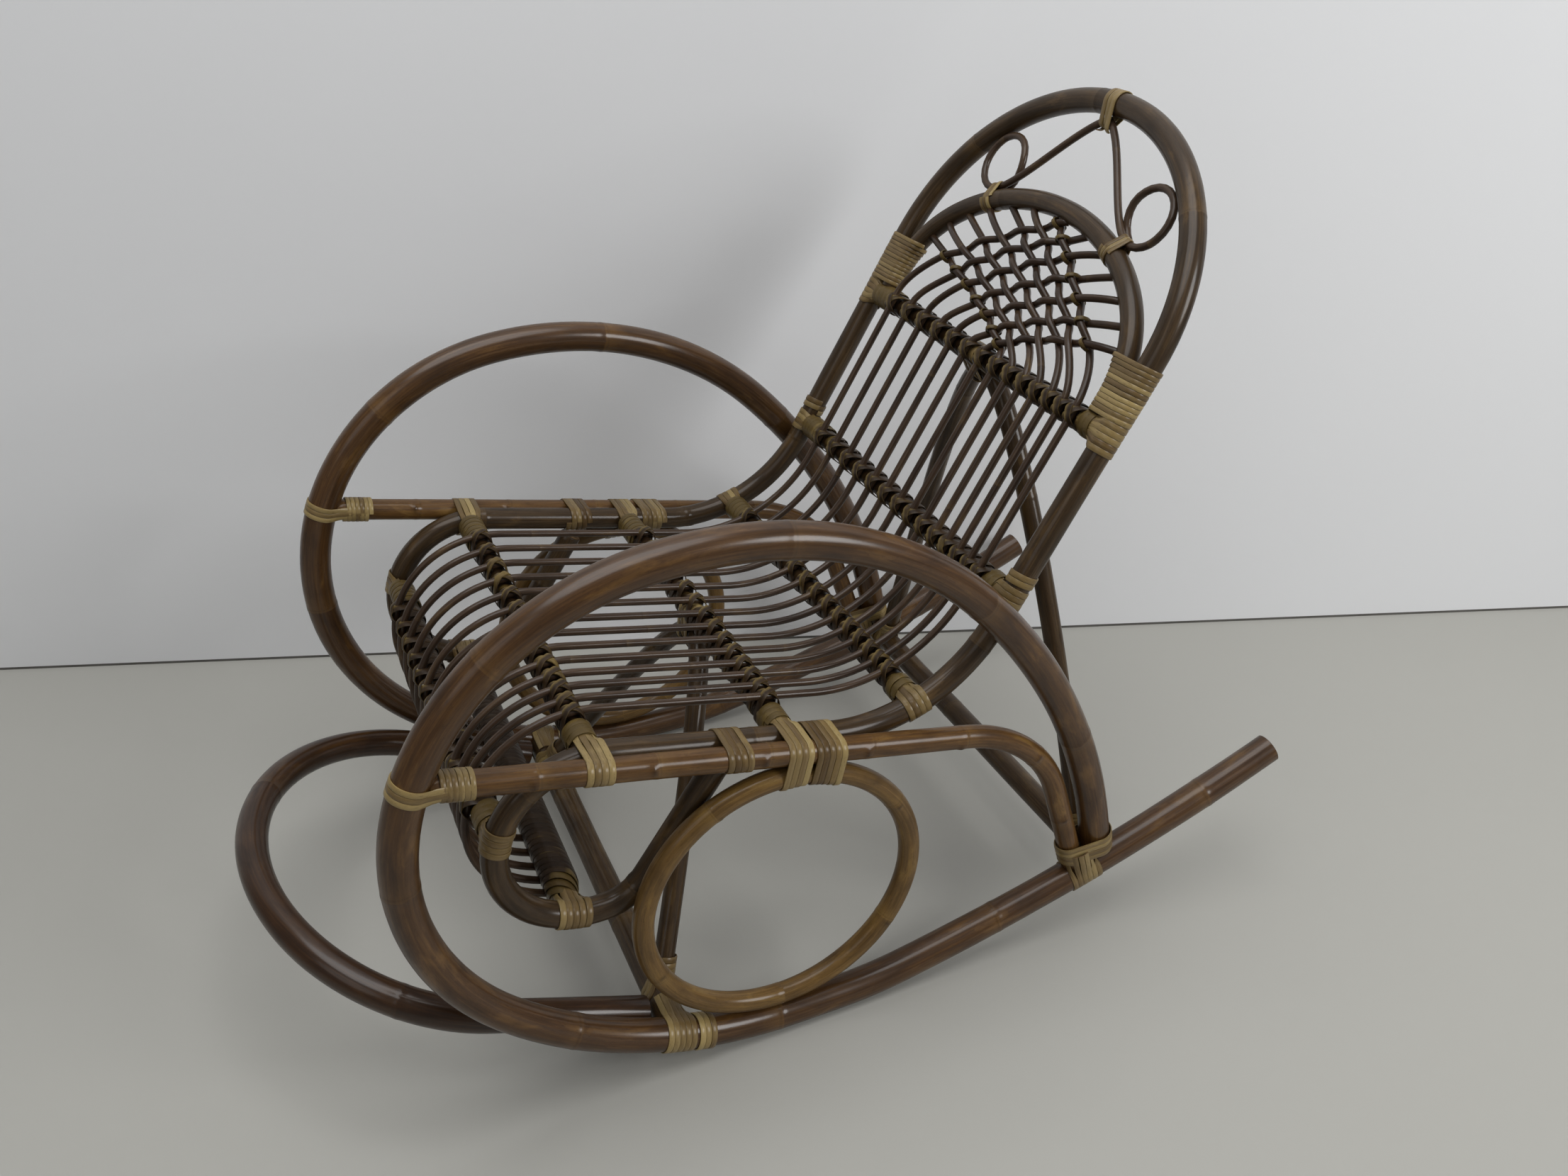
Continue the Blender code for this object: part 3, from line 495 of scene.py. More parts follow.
lattice_lines = [lattice_flat(i) for i in range(CANES)]
weave = [[] for _ in range(CANES)]
crossings = []
for i in range(CANES // 2):
    for j in range(CANES // 2, CANES):
        met = meeting(lattice_lines[i], lattice_lines[j])
        if met:
            level = dish(met[2].x, met[2].y)
            over = 1 if (i + j) % 2 else -1
            weave[i].append((met[0], level + over * (CANE_R + WEAVE_GAP)))
            weave[j].append((met[1], level - over * (CANE_R + WEAVE_GAP)))
            crossings.append((i, j, met, level))


def lattice(index):
    """A cane's run over the back's opening, woven over and under the canes it meets."""
    line = lattice_lines[index]
    marks = [(0, cane_off)] + sorted(weave[index]) + [(len(line) - 1, 0.0)]
    run = []
    for i, p in enumerate(line):
        before = max(m for m in marks if m[0] <= i)
        after = min((m for m in marks if m[0] > i), default=before)
        share = (i - before[0]) / max(after[0] - before[0], 1e-9)
        run.append(on_back(p.x, p.y, before[1] + (after[1] - before[1]) * ease(share)))
    return run


# Foot loop
foot_x = HALF_TRACK - HOOP_R - FOOT_LOOP_R - CLEAR
foot_rise = unit(180 - FOOT_SLOPE)
foot_end = Vector((FOOT_END_Y, FOOT_END_Z))
foot_leg = (FOOT_END_Y - FOOT_TURN_Y) / -foot_rise.x
foot_bend = oval(foot_x, foot_leg, FOOT_REACH, sweep=180)
foot_flat = [Vector((foot_x, 0)), *foot_bend, Vector((-foot_x, 0))]
foot_loop = [in_space(p.x, foot_end + foot_rise * p.y) for p in foot_flat]

# Stretchers and braces
front_axis = on_rocker(FRONT_STRETCHER_Y)[0]
rear_axis = on_rocker(REAR_STRETCHER_Y)[0]


def brace(top, foot, top_pull, foot_pull):
    """A pole bent over its middle, from its left foot over the top to its right foot."""
    return mirrored(bezier(foot, foot + foot_pull, top + Vector((top_pull, 0, 0)), top, CURVE_POINTS))


middle_bar = bars["bar_seat_middle"][0]
seat_top = in_space(0, middle_bar - Vector((0, BAR_R + BRACE_R + CLEAR)))
seat_foot = in_space(HALF_TRACK - SEAT_BRACE_INSET, front_axis)
seat_pull = (seat_top + Vector((SEAT_BRACE_TOP_PULL, 0, 0)) - seat_foot) * SEAT_BRACE_FOOT_SHARE
seat_brace = brace(seat_top, seat_foot, SEAT_BRACE_TOP_PULL, seat_pull)
upper_bar = bars["bar_back_upper"][0]
back_top = in_space(0, upper_bar + unit(-BACK_BRACE_DROP) * (BAR_R + BRACE_R + CLEAR))
back_foot = in_space(HALF_TRACK - HOOP_R - BRACE_R - WRAP_ROOM, rear_axis)
lean = unit(90 + BACK_BRACE_LEAN) * BACK_BRACE_FOOT_PULL
back_brace = brace(back_top, back_foot, BACK_BRACE_TOP_PULL, Vector((lean.x, 0, lean.y)))

stretcher_low, stretcher_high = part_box("front_stretcher")
SHIFT = (stretcher_low + stretcher_high) / 2 - in_space(0, front_axis)
SHIFT.x = 0


def srgb(red, green, blue):
    """A colour written as on screen, 0 to 255, turned linear."""
    linear = [((c / 255 + 0.055) / 1.055) ** 2.4 if c > 10 else c / 3295 for c in (red, green, blue)]
    return (*linear, 1)


class Nodes:
    """A material's node tree, with short ways to add and join nodes."""

    def __init__(self, name):
        self.material = bpy.data.materials.new(name)
        self.material.use_nodes = True
        self.tree = self.material.node_tree
        self.shader = self.tree.nodes["Principled BSDF"]

    def add(self, kind, **sockets):
        return self.feed(self.tree.nodes.new(kind), **sockets)

    def feed(self, node, **sockets):
        """Set a node's sockets, each to a value or to another node's output."""
        for key, value in sockets.items():
            socket = node.inputs[int(key[1:]) if key[0] == "_" else key.replace("__", " ")]
            if isinstance(value, bpy.types.NodeSocket):
                self.tree.links.new(value, socket)
            else:
                socket.default_value = value
        return node

    def kept(self, name):
        """The values kept under a name with each point of the mesh."""
        node = self.add("ShaderNodeAttribute")
        node.attribute_name = name
        return node.outputs["Vector"]

    def grain(self, scale, detail, distortion=0.0):
        """Noise stretched along a piece's own length."""
        spread = self.add("ShaderNodeMapping", Vector=self.kept("grain"), Scale=scale)
        noise = self.add("ShaderNodeTexNoise", Vector=spread.outputs["Vector"], Scale=1.0, Detail=detail,
                         Roughness=GRAIN_ROUGHNESS, Distortion=distortion)
        return noise.outputs["Fac"]

    def look(self):
        """The three marks kept with each point: dark line, pale band (on lashings also a painted
        highlight), overall darkening.
        """
        return self.add("ShaderNodeSeparateXYZ", Vector=self.kept("look")).outputs[:]

    def ramp(self, factor, stops):
        node = self.add("ShaderNodeValToRGB", Fac=factor)
        band = node.color_ramp
        while len(band.elements) < len(stops):
            band.elements.new(0.5)
        for element, (place, colour) in zip(band.elements, stops):
            element.position = place
            element.color = colour
        return node.outputs["Color"]

    def mix(self, factor, a, b, blend="MIX"):
        node = self.tree.nodes.new("ShaderNodeMix")
        node.data_type, node.blend_type = "RGBA", blend
        return self.feed(node, _0=factor, _6=a, _7=b).outputs[2]

    def spread(self, value, low, high, start=0.0, end=1.0):
        node = self.add("ShaderNodeMapRange", Value=value, From__Min=start, From__Max=end,
                        To__Min=low, To__Max=high)
        return node.outputs["Result"]

    def bump(self, height, strength, distance, **under):
        node = self.add("ShaderNodeBump", Height=height, Strength=strength, Distance=distance, **under)
        return node.outputs["Normal"]


GRAIN_ROUGHNESS = 0.55
DARKENING = (0.50, 0.43, 0.35, 1)
KNOT_DARK = 0.4
SPECULAR = 0.12


def blend(one, other):
    return tuple((a + b) / 2 for a, b in zip(one, other))


def rattan(name, dark, middle, light, gold, coat, gloss):
    """Varnished cane bark: streaks along the pole, stains, a dark line and a pale band at each joint."""
    n = Nodes(name)
    knot, pale_and_highlight, tone = n.look()
    fibre = n.grain((620, 620, 20), 6, distortion=0.25)
    stain = n.grain((85, 85, 24), 4, distortion=0.4)
    fleck = n.grain((1300, 1300, 260), 3)
    body = n.ramp(fibre, [(0.28, blend(middle, dark)), (0.50, middle), (0.76, blend(middle, light))])
    body = n.mix(n.spread(stain, 0.0, 0.7, 0.48, 0.72), body, dark)
    body = n.mix(n.spread(stain, 0.55, 0.0, 0.26, 0.42), body, gold)
    # pale bands lean towards gold; on lashings this channel also holds a painted highlight along the
    # strips' edges
    body = n.mix(n.spread(pale_and_highlight, 0.0, 0.75), body, gold)
    body = n.mix(n.spread(fleck, 0.0, 0.5, 0.58, 0.72), body, dark)
    body = n.mix(tone, body, DARKENING, "MULTIPLY")
    body = n.mix(n.spread(knot, 0.0, 0.7), body, (*(c * KNOT_DARK for c in dark[:3]), 1))
    skin = n.bump(fibre, 0.20, 0.0005)
    n.feed(n.shader, Base__Color=body, Roughness=n.spread(stain, 0.4, 0.6, 0.3, 0.7),
           Normal=n.bump(fleck, 0.12, 0.0004, Normal=skin), Specular__IOR__Level=SPECULAR,
           Coat__Weight=coat, Coat__Roughness=gloss)
    return n.material


def cut_end(name):
    """Sawn end of a pole: pale pith full of dark pores."""
    n = Nodes(name)
    pores = n.add("ShaderNodeTexVoronoi", Vector=n.kept("grain"), Scale=1100.0)
    rings = n.grain((180, 180, 180), 4)
    tone = n.ramp(rings, [(0.3, srgb(84, 62, 38)), (0.7, srgb(128, 102, 66))])
    tone = n.mix(n.spread(pores.outputs["Distance"], 0.75, 0.0, 0.10, 0.35), tone, srgb(40, 28, 17))
    n.feed(n.shader, Base__Color=tone, Roughness=n.spread(rings, 0.6, 0.85),
           Normal=n.bump(pores.outputs["Distance"], 0.4, 0.0006))
    return n.material


BARK_LOOKS = {
    # slot, then dark, middle, light and gold of the bark, then the coat's weight and roughness
    "hoop": ("hoop_pole", (40, 24, 10), (70, 46, 21), (102, 73, 38), (114, 83, 42), 0.7, 0.2),
    "rail": ("rail_pole", (50, 31, 13), (88, 61, 30), (124, 92, 48), (140, 108, 58), 0.5, 0.2),
    "ring": ("ring_pole", (60, 42, 19), (100, 75, 38), (134, 106, 58), (142, 113, 60), 0.45, 0.18),
    "frame": ("frame_pole", (32, 22, 11), (58, 43, 25), (90, 70, 44), (100, 76, 43), 0.45, 0.18),
    "brace": ("brace_pole", (32, 22, 11), (60, 44, 25), (90, 71, 43), (98, 76, 41), 0.45, 0.18),
    "cane": ("cane", (34, 23, 15), (62, 46, 33), (96, 77, 56), (102, 81, 50), 0.45, 0.18),
    "peel": ("peel", (76, 59, 34), (112, 92, 58), (142, 122, 82), (168, 148, 98), 0.45, 0.25),
    # the lash's gold is also the colour of the painted highlight on its strips' edges
    "lash": ("peel", (28, 18, 9), (48, 34, 18), (74, 55, 31), (140, 119, 66), 0.25, 0.3),
}
BARK, SLOTS = {}, {}
for bark, (slot, *colours, coat, gloss) in BARK_LOOKS.items():
    kind = "skin" if slot == "peel" else "bark"
    BARK[bark] = rattan(f"{bark}_{kind}", *(srgb(*colour) for colour in colours), coat, gloss)
    SLOTS[bark] = slot
CUT_END = cut_end("sawn_pith")
dice = random.Random(7)


# Growth of a rattan pole: joints, bands and buds in shares of its radius, the rest in metres
POLE_WAVES = ((0.008, 0.043, 1), (0.006, 0.019, 2))  # swelling, metres for a radian, phases
POLE_SIZE, END_SIZE, END_ROUND = 0.992, 0.93, 0.0006
RAIL_JOINT, RAIL_FIRST_JOINT = 0.0805, 0.0670
JOINT_ZONE, JOINT_MARKS = 0.8, 17
JOINT_TILT = 0.10
JOINT_SWELL, JOINT_WIDTH = 0.022, 0.20
LINE_DARK, LINE_PLACE, LINE_WIDTH = 0.4, 0.17, 0.07
BAND_RUN = 1.5
BUD_PLACE, BUD_LENGTH, BUD_WIDTH, BUD_DARK = 0.34, 0.26, 0.42, 0.9
BUD_FACING = (-0.9, 0.5)
LAST_JOINT = 0.02  # least length of pole beyond a joint
TONE_RUN = 0.02  # length over which a cane's end darkens
FULL_TURN = 6.28


def gauss(distance, width):
    return np.exp(-(distance / width) ** 2)


class Skin:
    """One piece as it is built up: rings of points joined into closed skins."""

    def __init__(self, bark):
        self.bark = bark
        self.points, self.grain, self.look, self.sides, self.cuts = [], [], [], [], []
        self.offset = np.array([dice.uniform(0, 3) for _ in range(3)])

    def rings(self, rings, grain, look, closed=False):
        """Join rings, (count, around, 3), into a skin, capped at both ends unless it is closed."""
        count, around = rings.shape[:2]
        index = len(self.points) + np.arange(count * around).reshape(count, around)
        a, b = (index, np.roll(index, -1, 0)) if closed else (index[:-1], index[1:])
        quads = np.stack([a, np.roll(a, -1, 1), np.roll(b, -1, 1), b], -1)
        self.sides += quads.reshape(-1, 4).tolist()
        if not closed:
            self.cuts += [index[0, ::-1].tolist(), index[-1].tolist()]
        self.points += rings.reshape(-1, 3).tolist()
        grain = np.stack(np.broadcast_arrays(*grain), -1) + self.offset
        self.grain += grain.reshape(-1, 3).tolist()
        self.look += look.reshape(-1, 3).tolist()

    def tube(self, line, radius, sides=24, closed=False, joint=0.2, floor=False, tone=0.0, bud=0.0,
             pale=0.6, first=None, end_run=0.0, end_tone=0.0):
        """A round pole along a line of points, with the swollen joints and buds that rattan grows."""
        points = np.array([tuple(p + SHIFT) for p in line])
        if closed:
            points = np.vstack([points, points[:1]])
        along = run_length(points)
        length = along[-1]
        joints = []
        place = first or dice.uniform(0.3, 0.9) * joint
        while place < length - LAST_JOINT:
            joints.append(place)
            place += joint * (1 if first else dice.uniform(0.8, 1.2))
        marks = [np.linspace(0, length, ceil(length / POLE_STEP) + 1), [END_ROUND, length - END_ROUND]]
        marks += [j + radius * np.linspace(-JOINT_ZONE, JOINT_ZONE, JOINT_MARKS) for j in joints]
        marks = np.unique(np.clip(np.concatenate(marks).round(5), 0, length))
        if closed:
            marks = marks[:-1]
        centre = np.stack([np.interp(marks, along, points[:, k]) for k in range(3)], 1)
        ahead = np.roll(centre, -1, 0) - np.roll(centre, 1, 0)
        if not closed:
            ahead[0], ahead[-1] = centre[1] - centre[0], centre[-1] - centre[-2]
        ahead = normal(ahead)
        out = np.cross(ahead[0], (0.31, 0.17, 0.93))
        outs = []
        for direction in ahead:
            out = normal(out - direction * out.dot(direction))
            outs.append(out)
        outs = np.array(outs)
        over = np.cross(ahead, outs)
        turn = np.linspace(0, 2 * pi, sides, endpoint=False)[None]
        phase = dice.uniform(0, FULL_TURN)
        swell = sum(high * np.sin(marks / slow + times * phase) for high, slow, times in POLE_WAVES)
        swell = np.repeat(swell[:, None], sides, 1)
        look = np.zeros(swell.shape + (3,))
        look[..., 2] = tone + end_tone * np.clip((marks - length + end_run) / TONE_RUN, 0, 1)[:, None]
        for j in joints:
            lean, facing = dice.uniform(0, FULL_TURN), dice.uniform(*BUD_FACING)
            band = pale * dice.uniform(0.3, 1.0)
            away = (marks[:, None] - j) / radius + JOINT_TILT * np.cos(turn - lean)
            swell += JOINT_SWELL * gauss(away, JOINT_WIDTH)
            look[..., 0] += LINE_DARK * gauss(away - LINE_PLACE, LINE_WIDTH)
            look[..., 1] += band * np.clip(1 - away / BAND_RUN, 0, 1) * (away > 0)
            if bud:
                round_bud = (turn - facing + pi) % (2 * pi) - pi
                mound = gauss(away + BUD_PLACE, BUD_LENGTH) * gauss(round_bud, BUD_WIDTH)
                swell += bud * mound
                look[..., 0] += BUD_DARK * mound ** 2
        size = radius * (POLE_SIZE + swell)
        if not closed:
            size[[0, -1]] *= END_SIZE
        wave = np.cos(turn)[..., None] * outs[:, None] + np.sin(turn)[..., None] * over[:, None]
        rings = centre[:, None] + size[..., None] * wave
        if floor:
            rings[..., 2] = np.maximum(rings[..., 2], 0)
        grain = (radius * np.cos(turn), radius * np.sin(turn), marks[:, None])
        self.rings(rings, grain, np.clip(look, 0, 1), closed)

    def strip(self, points, normals, width, thick, tone, pale=0.0, edge_highlight=0.0):
        """A crowned peel strip lying on a line of points, its back along the normals."""
        points, normals = np.array(points) + np.array(SHIFT), np.array(normals)
        ahead = normal(np.gradient(points, axis=0))
        across = normal(np.cross(ahead, normals))
        up = np.cross(across, ahead)
        shape = np.array(STRIP_SHAPE)
        rings = points[:, None] + across[:, None] * (shape[:, :1] * width)
        rings += up[:, None] * (shape[:, 1:] * thick)
        grain = (shape[None, :, 0] * width, shape[None, :, 1] * thick, run_length(points)[:, None])
        look = np.zeros(rings.shape)
        # pale tone of the strip itself, plus a painted highlight along its edge
        look[..., 1] = np.reshape(edge_highlight, (-1, 1)) * np.array(STRIP_EDGE_HIGHLIGHT) + np.reshape(pale, (-1, 1))
        look[..., 2] = np.reshape(tone, (-1, 1))
        self.rings(rings, grain, look)

    def piece(self, name, *nodes):
        mesh = bpy.data.meshes.new(name)
        mesh.from_pydata(self.points, [], self.sides + self.cuts)
        for key, values in (("grain", self.grain), ("look", self.look)):
            layer = mesh.attributes.new(key, "FLOAT_VECTOR", "POINT")
            layer.data.foreach_set("vector", np.ravel(values))
        mesh.materials.append(BARK[self.bark])
        mesh.materials.append(CUT_END)
        mesh.polygons.foreach_set("material_index", [0] * len(self.sides) + [1] * len(self.cuts))
        mesh.polygons.foreach_set("use_smooth", [True] * len(mesh.polygons))
        mesh.set_sharp_from_angle(angle=radians(50))
        mesh.update()
        made = stand(name, mesh)
        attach(made, "root")
        if nodes:
            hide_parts(*nodes)


def pole(node, bark, line, radius, **shape):
    skin = Skin(bark)
    skin.tube(line, radius, **shape)
    skin.piece(f"pole_{node}", node)


class Bundle:
    """Poles that are bound together, round an axis; angles are counted from `toward`."""

    def __init__(self, poles, origin, axis, toward):
        self.poles = [(np.array([tuple(p) for p in line]), radius) for line, radius in poles]
        self.origin, self.toward = np.array(origin), np.array(toward)
        self.axis = np.array(axis.normalized())
        self.across = np.cross(self.axis, self.toward)

    def circles(self, centre):
        """The poles cut across a plane: their centres in it and their radii."""
        found = []
        for line, radius in self.poles:
            away = (line - centre) @ self.axis
            cut = np.nonzero((away[:-1] * away[1:] <= 0) & (away[:-1] != away[1:]))[0]
            if len(cut):
                steps = line[cut + 1] - line[cut]
                hits = line[cut] + steps * (away[cut] / (away[cut] - away[cut + 1]))[:, None] - centre
                best = np.argmin((hits ** 2).sum(1))
                hit, step = hits[best], steps[best]
                slant = abs(step @ self.axis) / sqrt(step @ step)
                found.append((np.array([hit @ self.toward, hit @ self.across]), radius / slant))
        return found

    def taut(self, along, width, angle, lift=0.0):
        """Point and outward direction of a strip pulled tight round the poles."""
        face = np.array([cos(angle), sin(angle)])
        centre = self.origin + self.axis * along
        edges = [centre - self.axis * (width / 2), centre + self.axis * (width / 2)]
        circles = [c for edge in edges for c in self.circles(edge)]
        middle, radius = max(circles, key=lambda c: c[0] @ face + c[1])
        place = middle + face * (radius + CLEAR / 2 + lift)
        return (centre + self.toward * place[0] + self.across * place[1],
                self.toward * face[0] + self.across * face[1])


def winding(skin, poles, origin, axis, toward, start, turns, width=PEEL_W, lift=0.0, shade=0.5):
    """One unbroken strip wound round `poles`; each turn starts on the `toward` side."""
    bundle = Bundle(poles, origin, axis, toward)
    rows = []
    for turn in range(turns):
        stray, tone = dice.uniform(-1, 1) * TURN_STRAY, shade * dice.uniform(0, 1)
        proud, pale = dice.uniform(0, TURN_PROUD), PEEL_PALE * dice.uniform(0, 1) ** 2
        for k in range(WRAP_SAMPLES + (turn == turns - 1)):
            share = k / WRAP_SAMPLES
            angle = 2 * pi * share
            along = start + (width + PEEL_GAP) * (turn + share) + stray * sin(angle)
            rows.append((*bundle.taut(along, width, angle, lift + proud * sin(angle / 2)), tone, pale))
    points, normals, tones, pales = zip(*rows)
    skin.strip(points, normals, width, PEEL_T, tones, pales)


def hook(skin, poles, origin, axis, toward, count, stem_r, stem, width=PEEL_W, shade=0.5, gather=GATHER,
         run=None):
    """Strips side by side that hook round `poles`, both ends lying along the stem that meets them."""
    bundle = Bundle(poles, origin, axis, toward)
    run = bundle.toward if run is None else np.array(run)
    for i in range(count):
        offset = (i - (count - 1) / 2) * (width + PEEL_GAP)
        on_stem = offset * gather
        height = sqrt(max((stem_r + CLEAR) ** 2 - on_stem ** 2, (HOOK_LOW * stem_r) ** 2))
        height += PEEL_T * (i % 2) * (1 - gather)
        bend = [bundle.taut(offset, width, radians(angle))
                for angle in np.linspace(HOOK_START, 360 - HOOK_START, HOOK_SAMPLES + 1)]
        legs = []
        for side, (point, _) in ((1, bend[0]), (-1, bend[-1])):
            meet = max(0, (point - bundle.origin) @ run) + HOOK_MEET * stem
            face = bundle.axis * on_stem + bundle.across * (side * height)
            legs.append([(bundle.origin + face + run * reach, normal(face))
                         for reach in np.linspace(stem, min(meet, HOOK_REACH * stem), LEG_SAMPLES)])
        path = legs[0] + bend + legs[1][::-1]
        points = np.array([p for p, _ in path])
        for _ in range(2):
            points[1:-1] = (points[:-2] + 2 * points[1:-1] + points[2:]) / 4
        skin.strip(points, [normal for _, normal in path], width, PEEL_T, shade * dice.uniform(0, 1),
                   PEEL_PALE * dice.uniform(0, 1) ** 2)


# The poles
for label, side in SIDES:
    plane = side * HALF_TRACK
    pole(f"hoop_{label}", "hoop", side_view(hoop, plane), HOOP_R, sides=36, floor=True, joint=0.21)
    pole(f"seat_rail_{label}", "rail", trimmed(side_view(rail, plane), HOOP_R * BUTT), RAIL_R,
         sides=36, joint=RAIL_JOINT, first=RAIL_FIRST_JOINT, bud=0.13, pale=0.3)
    pole(f"side_ring_{label}", "ring", side_view(ring, plane), RING_R, sides=32, closed=True, joint=0.15,
         bud=0.06)
foot_ends = [end - in_space(0, foot_rise) * FOOT_RUN_ON for end in (foot_loop[0], foot_loop[-1])]
pole("foot_loop", "hoop", foot_ends[:1] + foot_loop + foot_ends[1:], FOOT_LOOP_R, sides=36, tone=0.9,
     joint=0.24)
for name, axis, radius in (("front_stretcher", front_axis, FRONT_STRETCHER_R),
                           ("rear_stretcher", rear_axis, REAR_STRETCHER_R)):
    pole(name, "brace", crosswise(HALF_TRACK - HOOP_R * BUTT, axis), radius)
pole("seat_brace", "brace", trimmed(seat_brace, FRONT_STRETCHER_R * BUTT), BRACE_R)
pole("back_brace", "brace", trimmed(back_brace, REAR_STRETCHER_R * BUTT), BRACE_R)
pole("seat_back_frame", "frame", frame_line, FRAME_R, sides=32, joint=0.17, bud=0.05)
pole("inner_arch", "frame", arch, ARCH_R, joint=0.16)
pole("loop_ornament", "cane", ornament, ORNAMENT_R, sides=16, joint=0.12)
for name, (place, half) in bars.items():
    pole(name, "frame", crosswise(half - FRAME_R * BUTT, place), BAR_R, tone=0.6)
for index in range(CANES):
    run = side_view(cane_side, cane_xs[index]) + lattice(index)
    pole(f"cane_{index + 1:02d}", "cane", run, CANE_R, sides=16, joint=0.19,
         tone=dice.uniform(0, 0.4), end_run=0.14, end_tone=0.5)

# Bindings that stand for the frame's own windings
BEHIND_BAR = 0.55  # in pitches, between a hooked binding and the turns behind the bar
NEAR_SHADE, FAR_SHADE, TIE_SHADE = 0.65, 0.9, 1.3
pitch = PEEL_W + PEEL_GAP
fine_pitch = NARROW_PEEL_W + PEEL_GAP
fall_line = in_space(0, fall)
up_back = in_space(0, back_rise)
frame_only = [(frame_line, FRAME_R)]
BAR_BINDINGS = {
    # bar: (direction of the frame there, strips, turns behind the bar)
    "bar_seat_front": (fall, 4, 0),
    "bar_seat_middle": (fall, 4, 5),
    "bar_seat_rear": (unit(SEAT_REAR_BAR_SWEEP - SEAT_SLOPE), 4, 0),
    "bar_scroll": (unit(SCROLL_BAR_SWEEP - 90), 5, 0),
    "bar_back_lower": (back_rise, 4, 2),
    "bar_nose": (unit(NOSE_BAR_SWEEP - 180 - SEAT_SLOPE), 4, 0),
    "bar_back_upper": (back_rise, 6, 0),
}
SCENE_ONLY = ("bar_nose", "bar_back_upper")  # bars whose binding the frame leaves out
for label, side in SIDES:
    plane = side * HALF_TRACK
    inward = Vector((-side, 0, 0))
    shade = NEAR_SHADE if side > 0 else FAR_SHADE
    hoop_line, rail_line = side_view(hoop, plane), side_view(rail, plane)
    pair = frame_only + [(rail_line, RAIL_R)]
    tied = {"bar_seat_front": pair, "bar_seat_middle": pair + [(side_view(ring + ring[:1], plane), RING_R)]}
    for name, (run, strips, turns) in BAR_BINDINGS.items():
        place, half = bars[name]
        end, axis = in_space(side * half, place), in_space(0, run)
        skin = Skin("peel")
        hook(skin, tied.get(name, frame_only), end, axis, inward, strips, BAR_R, FRAME_R + STEM,
             shade=shade, gather=CLOSE_GATHER if name == "bar_back_upper" else GATHER)
        if turns:
            start = (strips / 2 + BEHIND_BAR) * pitch
            winding(skin, tied.get(name, frame_only), end, axis, inward, start, turns, shade=1.0)
        node = f"{name.replace('bar', 'binding')}_{label}"
        if name in SCENE_ONLY:
            skin.piece(f"peel_{name}_{label}")
        else:
            skin.piece(f"peel_{node}", node)

    below = nearest(hoop, rail_start)[1]
    rise = (nearest(hoop, rail_start + seat_up * RAIL_R)[1] - below).normalized()
    skin = Skin("peel")
    hook(skin, [(hoop_line, HOOP_R)], in_space(plane, below), in_space(0, rise),
         in_space(0, Vector((rise.y, -rise.x))), 3, RAIL_R, STRAP_END, STRAP_W, run=fall_line)
    skin.piece(f"peel_strap_rail_front_{label}", f"strap_rail_front_{label}")

    foot_axis = in_space(0, on_rocker(FRONT_STRETCHER_Y)[1])
    leg_run = on_rocker(leg_foot.x)[1]
    heel = on_rocker(leg_foot.x - leg_run.x * HOOP_R)[0]
    windings = {
        "rail_front": ([(rail_line, RAIL_R)], in_space(plane, rail_start), fall_line, inward,
                       STRAP_JOIN, 6, NARROW_PEEL_W, PEEL_T / 2),
        "seat_tie": (pair, in_space(side * seat_x, rail_start + fall * (TIE_Y / fall.x)), fall_line, inward,
                     -2 * pitch, 4, PEEL_W, 0.0, TIE_SHADE),
        "arch_foot": (frame_only + [(arch, ARCH_R)], in_space(side * back_x, upper_bar), up_back, inward,
                      BAR_R + NARROW_PEEL_W / 2 + BRANCH_GAP, 12, NARROW_PEEL_W, 0.0, shade),
        "rear_foot": ([(side_view(leg, plane), HOOP_R), (rail_line, RAIL_R)], in_space(plane, leg_foot),
                      in_space(0, leg[-2] - leg[-1]), inward, PEEL_W / 2 + BRANCH_GAP, 4, PEEL_W, PEEL_T),
        "front_foot": ([(hoop_line, HOOP_R)], in_space(plane, front_axis), foot_axis, inward, 3 * pitch, 3),
        "ornament": ([(arch, ARCH_R), (ornament, ORNAMENT_R)], on_back(side * touch.x, touch.y),
                     Vector((side * touch_run.x, 0, 0)) + up_back * touch_run.y, in_space(0, back_front),
                     -1.5 * fine_pitch, 3, NARROW_PEEL_W),
    }
    for kind, wound in windings.items():
        skin = Skin("peel")
        winding(skin, *wound)
        if kind == "front_foot":
            hook(skin, [(hoop_line, HOOP_R)], in_space(plane, front_axis), foot_axis, inward, 5,
                 FRONT_STRETCHER_R, HOOP_R + STEM)
        if kind == "rear_foot":
            hook(skin, [(side_view(rocker, plane), HOOP_R)], in_space(plane, heel), in_space(0, leg_run),
                 in_space(0, Vector((-leg_run.y, leg_run.x))), 6, HOOP_R, HOOP_R + STEM, gather=1.0)
        skin.piece(f"peel_binding_{kind}_{label}", f"binding_{kind}_{label}")
skin = Skin("peel")
across_x = Vector((1, 0, 0))
winding(skin, frame_only + [(ornament, ORNAMENT_R)], on_back(0, SPRING_HEIGHT + ARCH_RISE), across_x,
        -up_back, -1.5 * pitch, 3)
skin.piece("peel_binding_ornament_top", "binding_ornament_top")

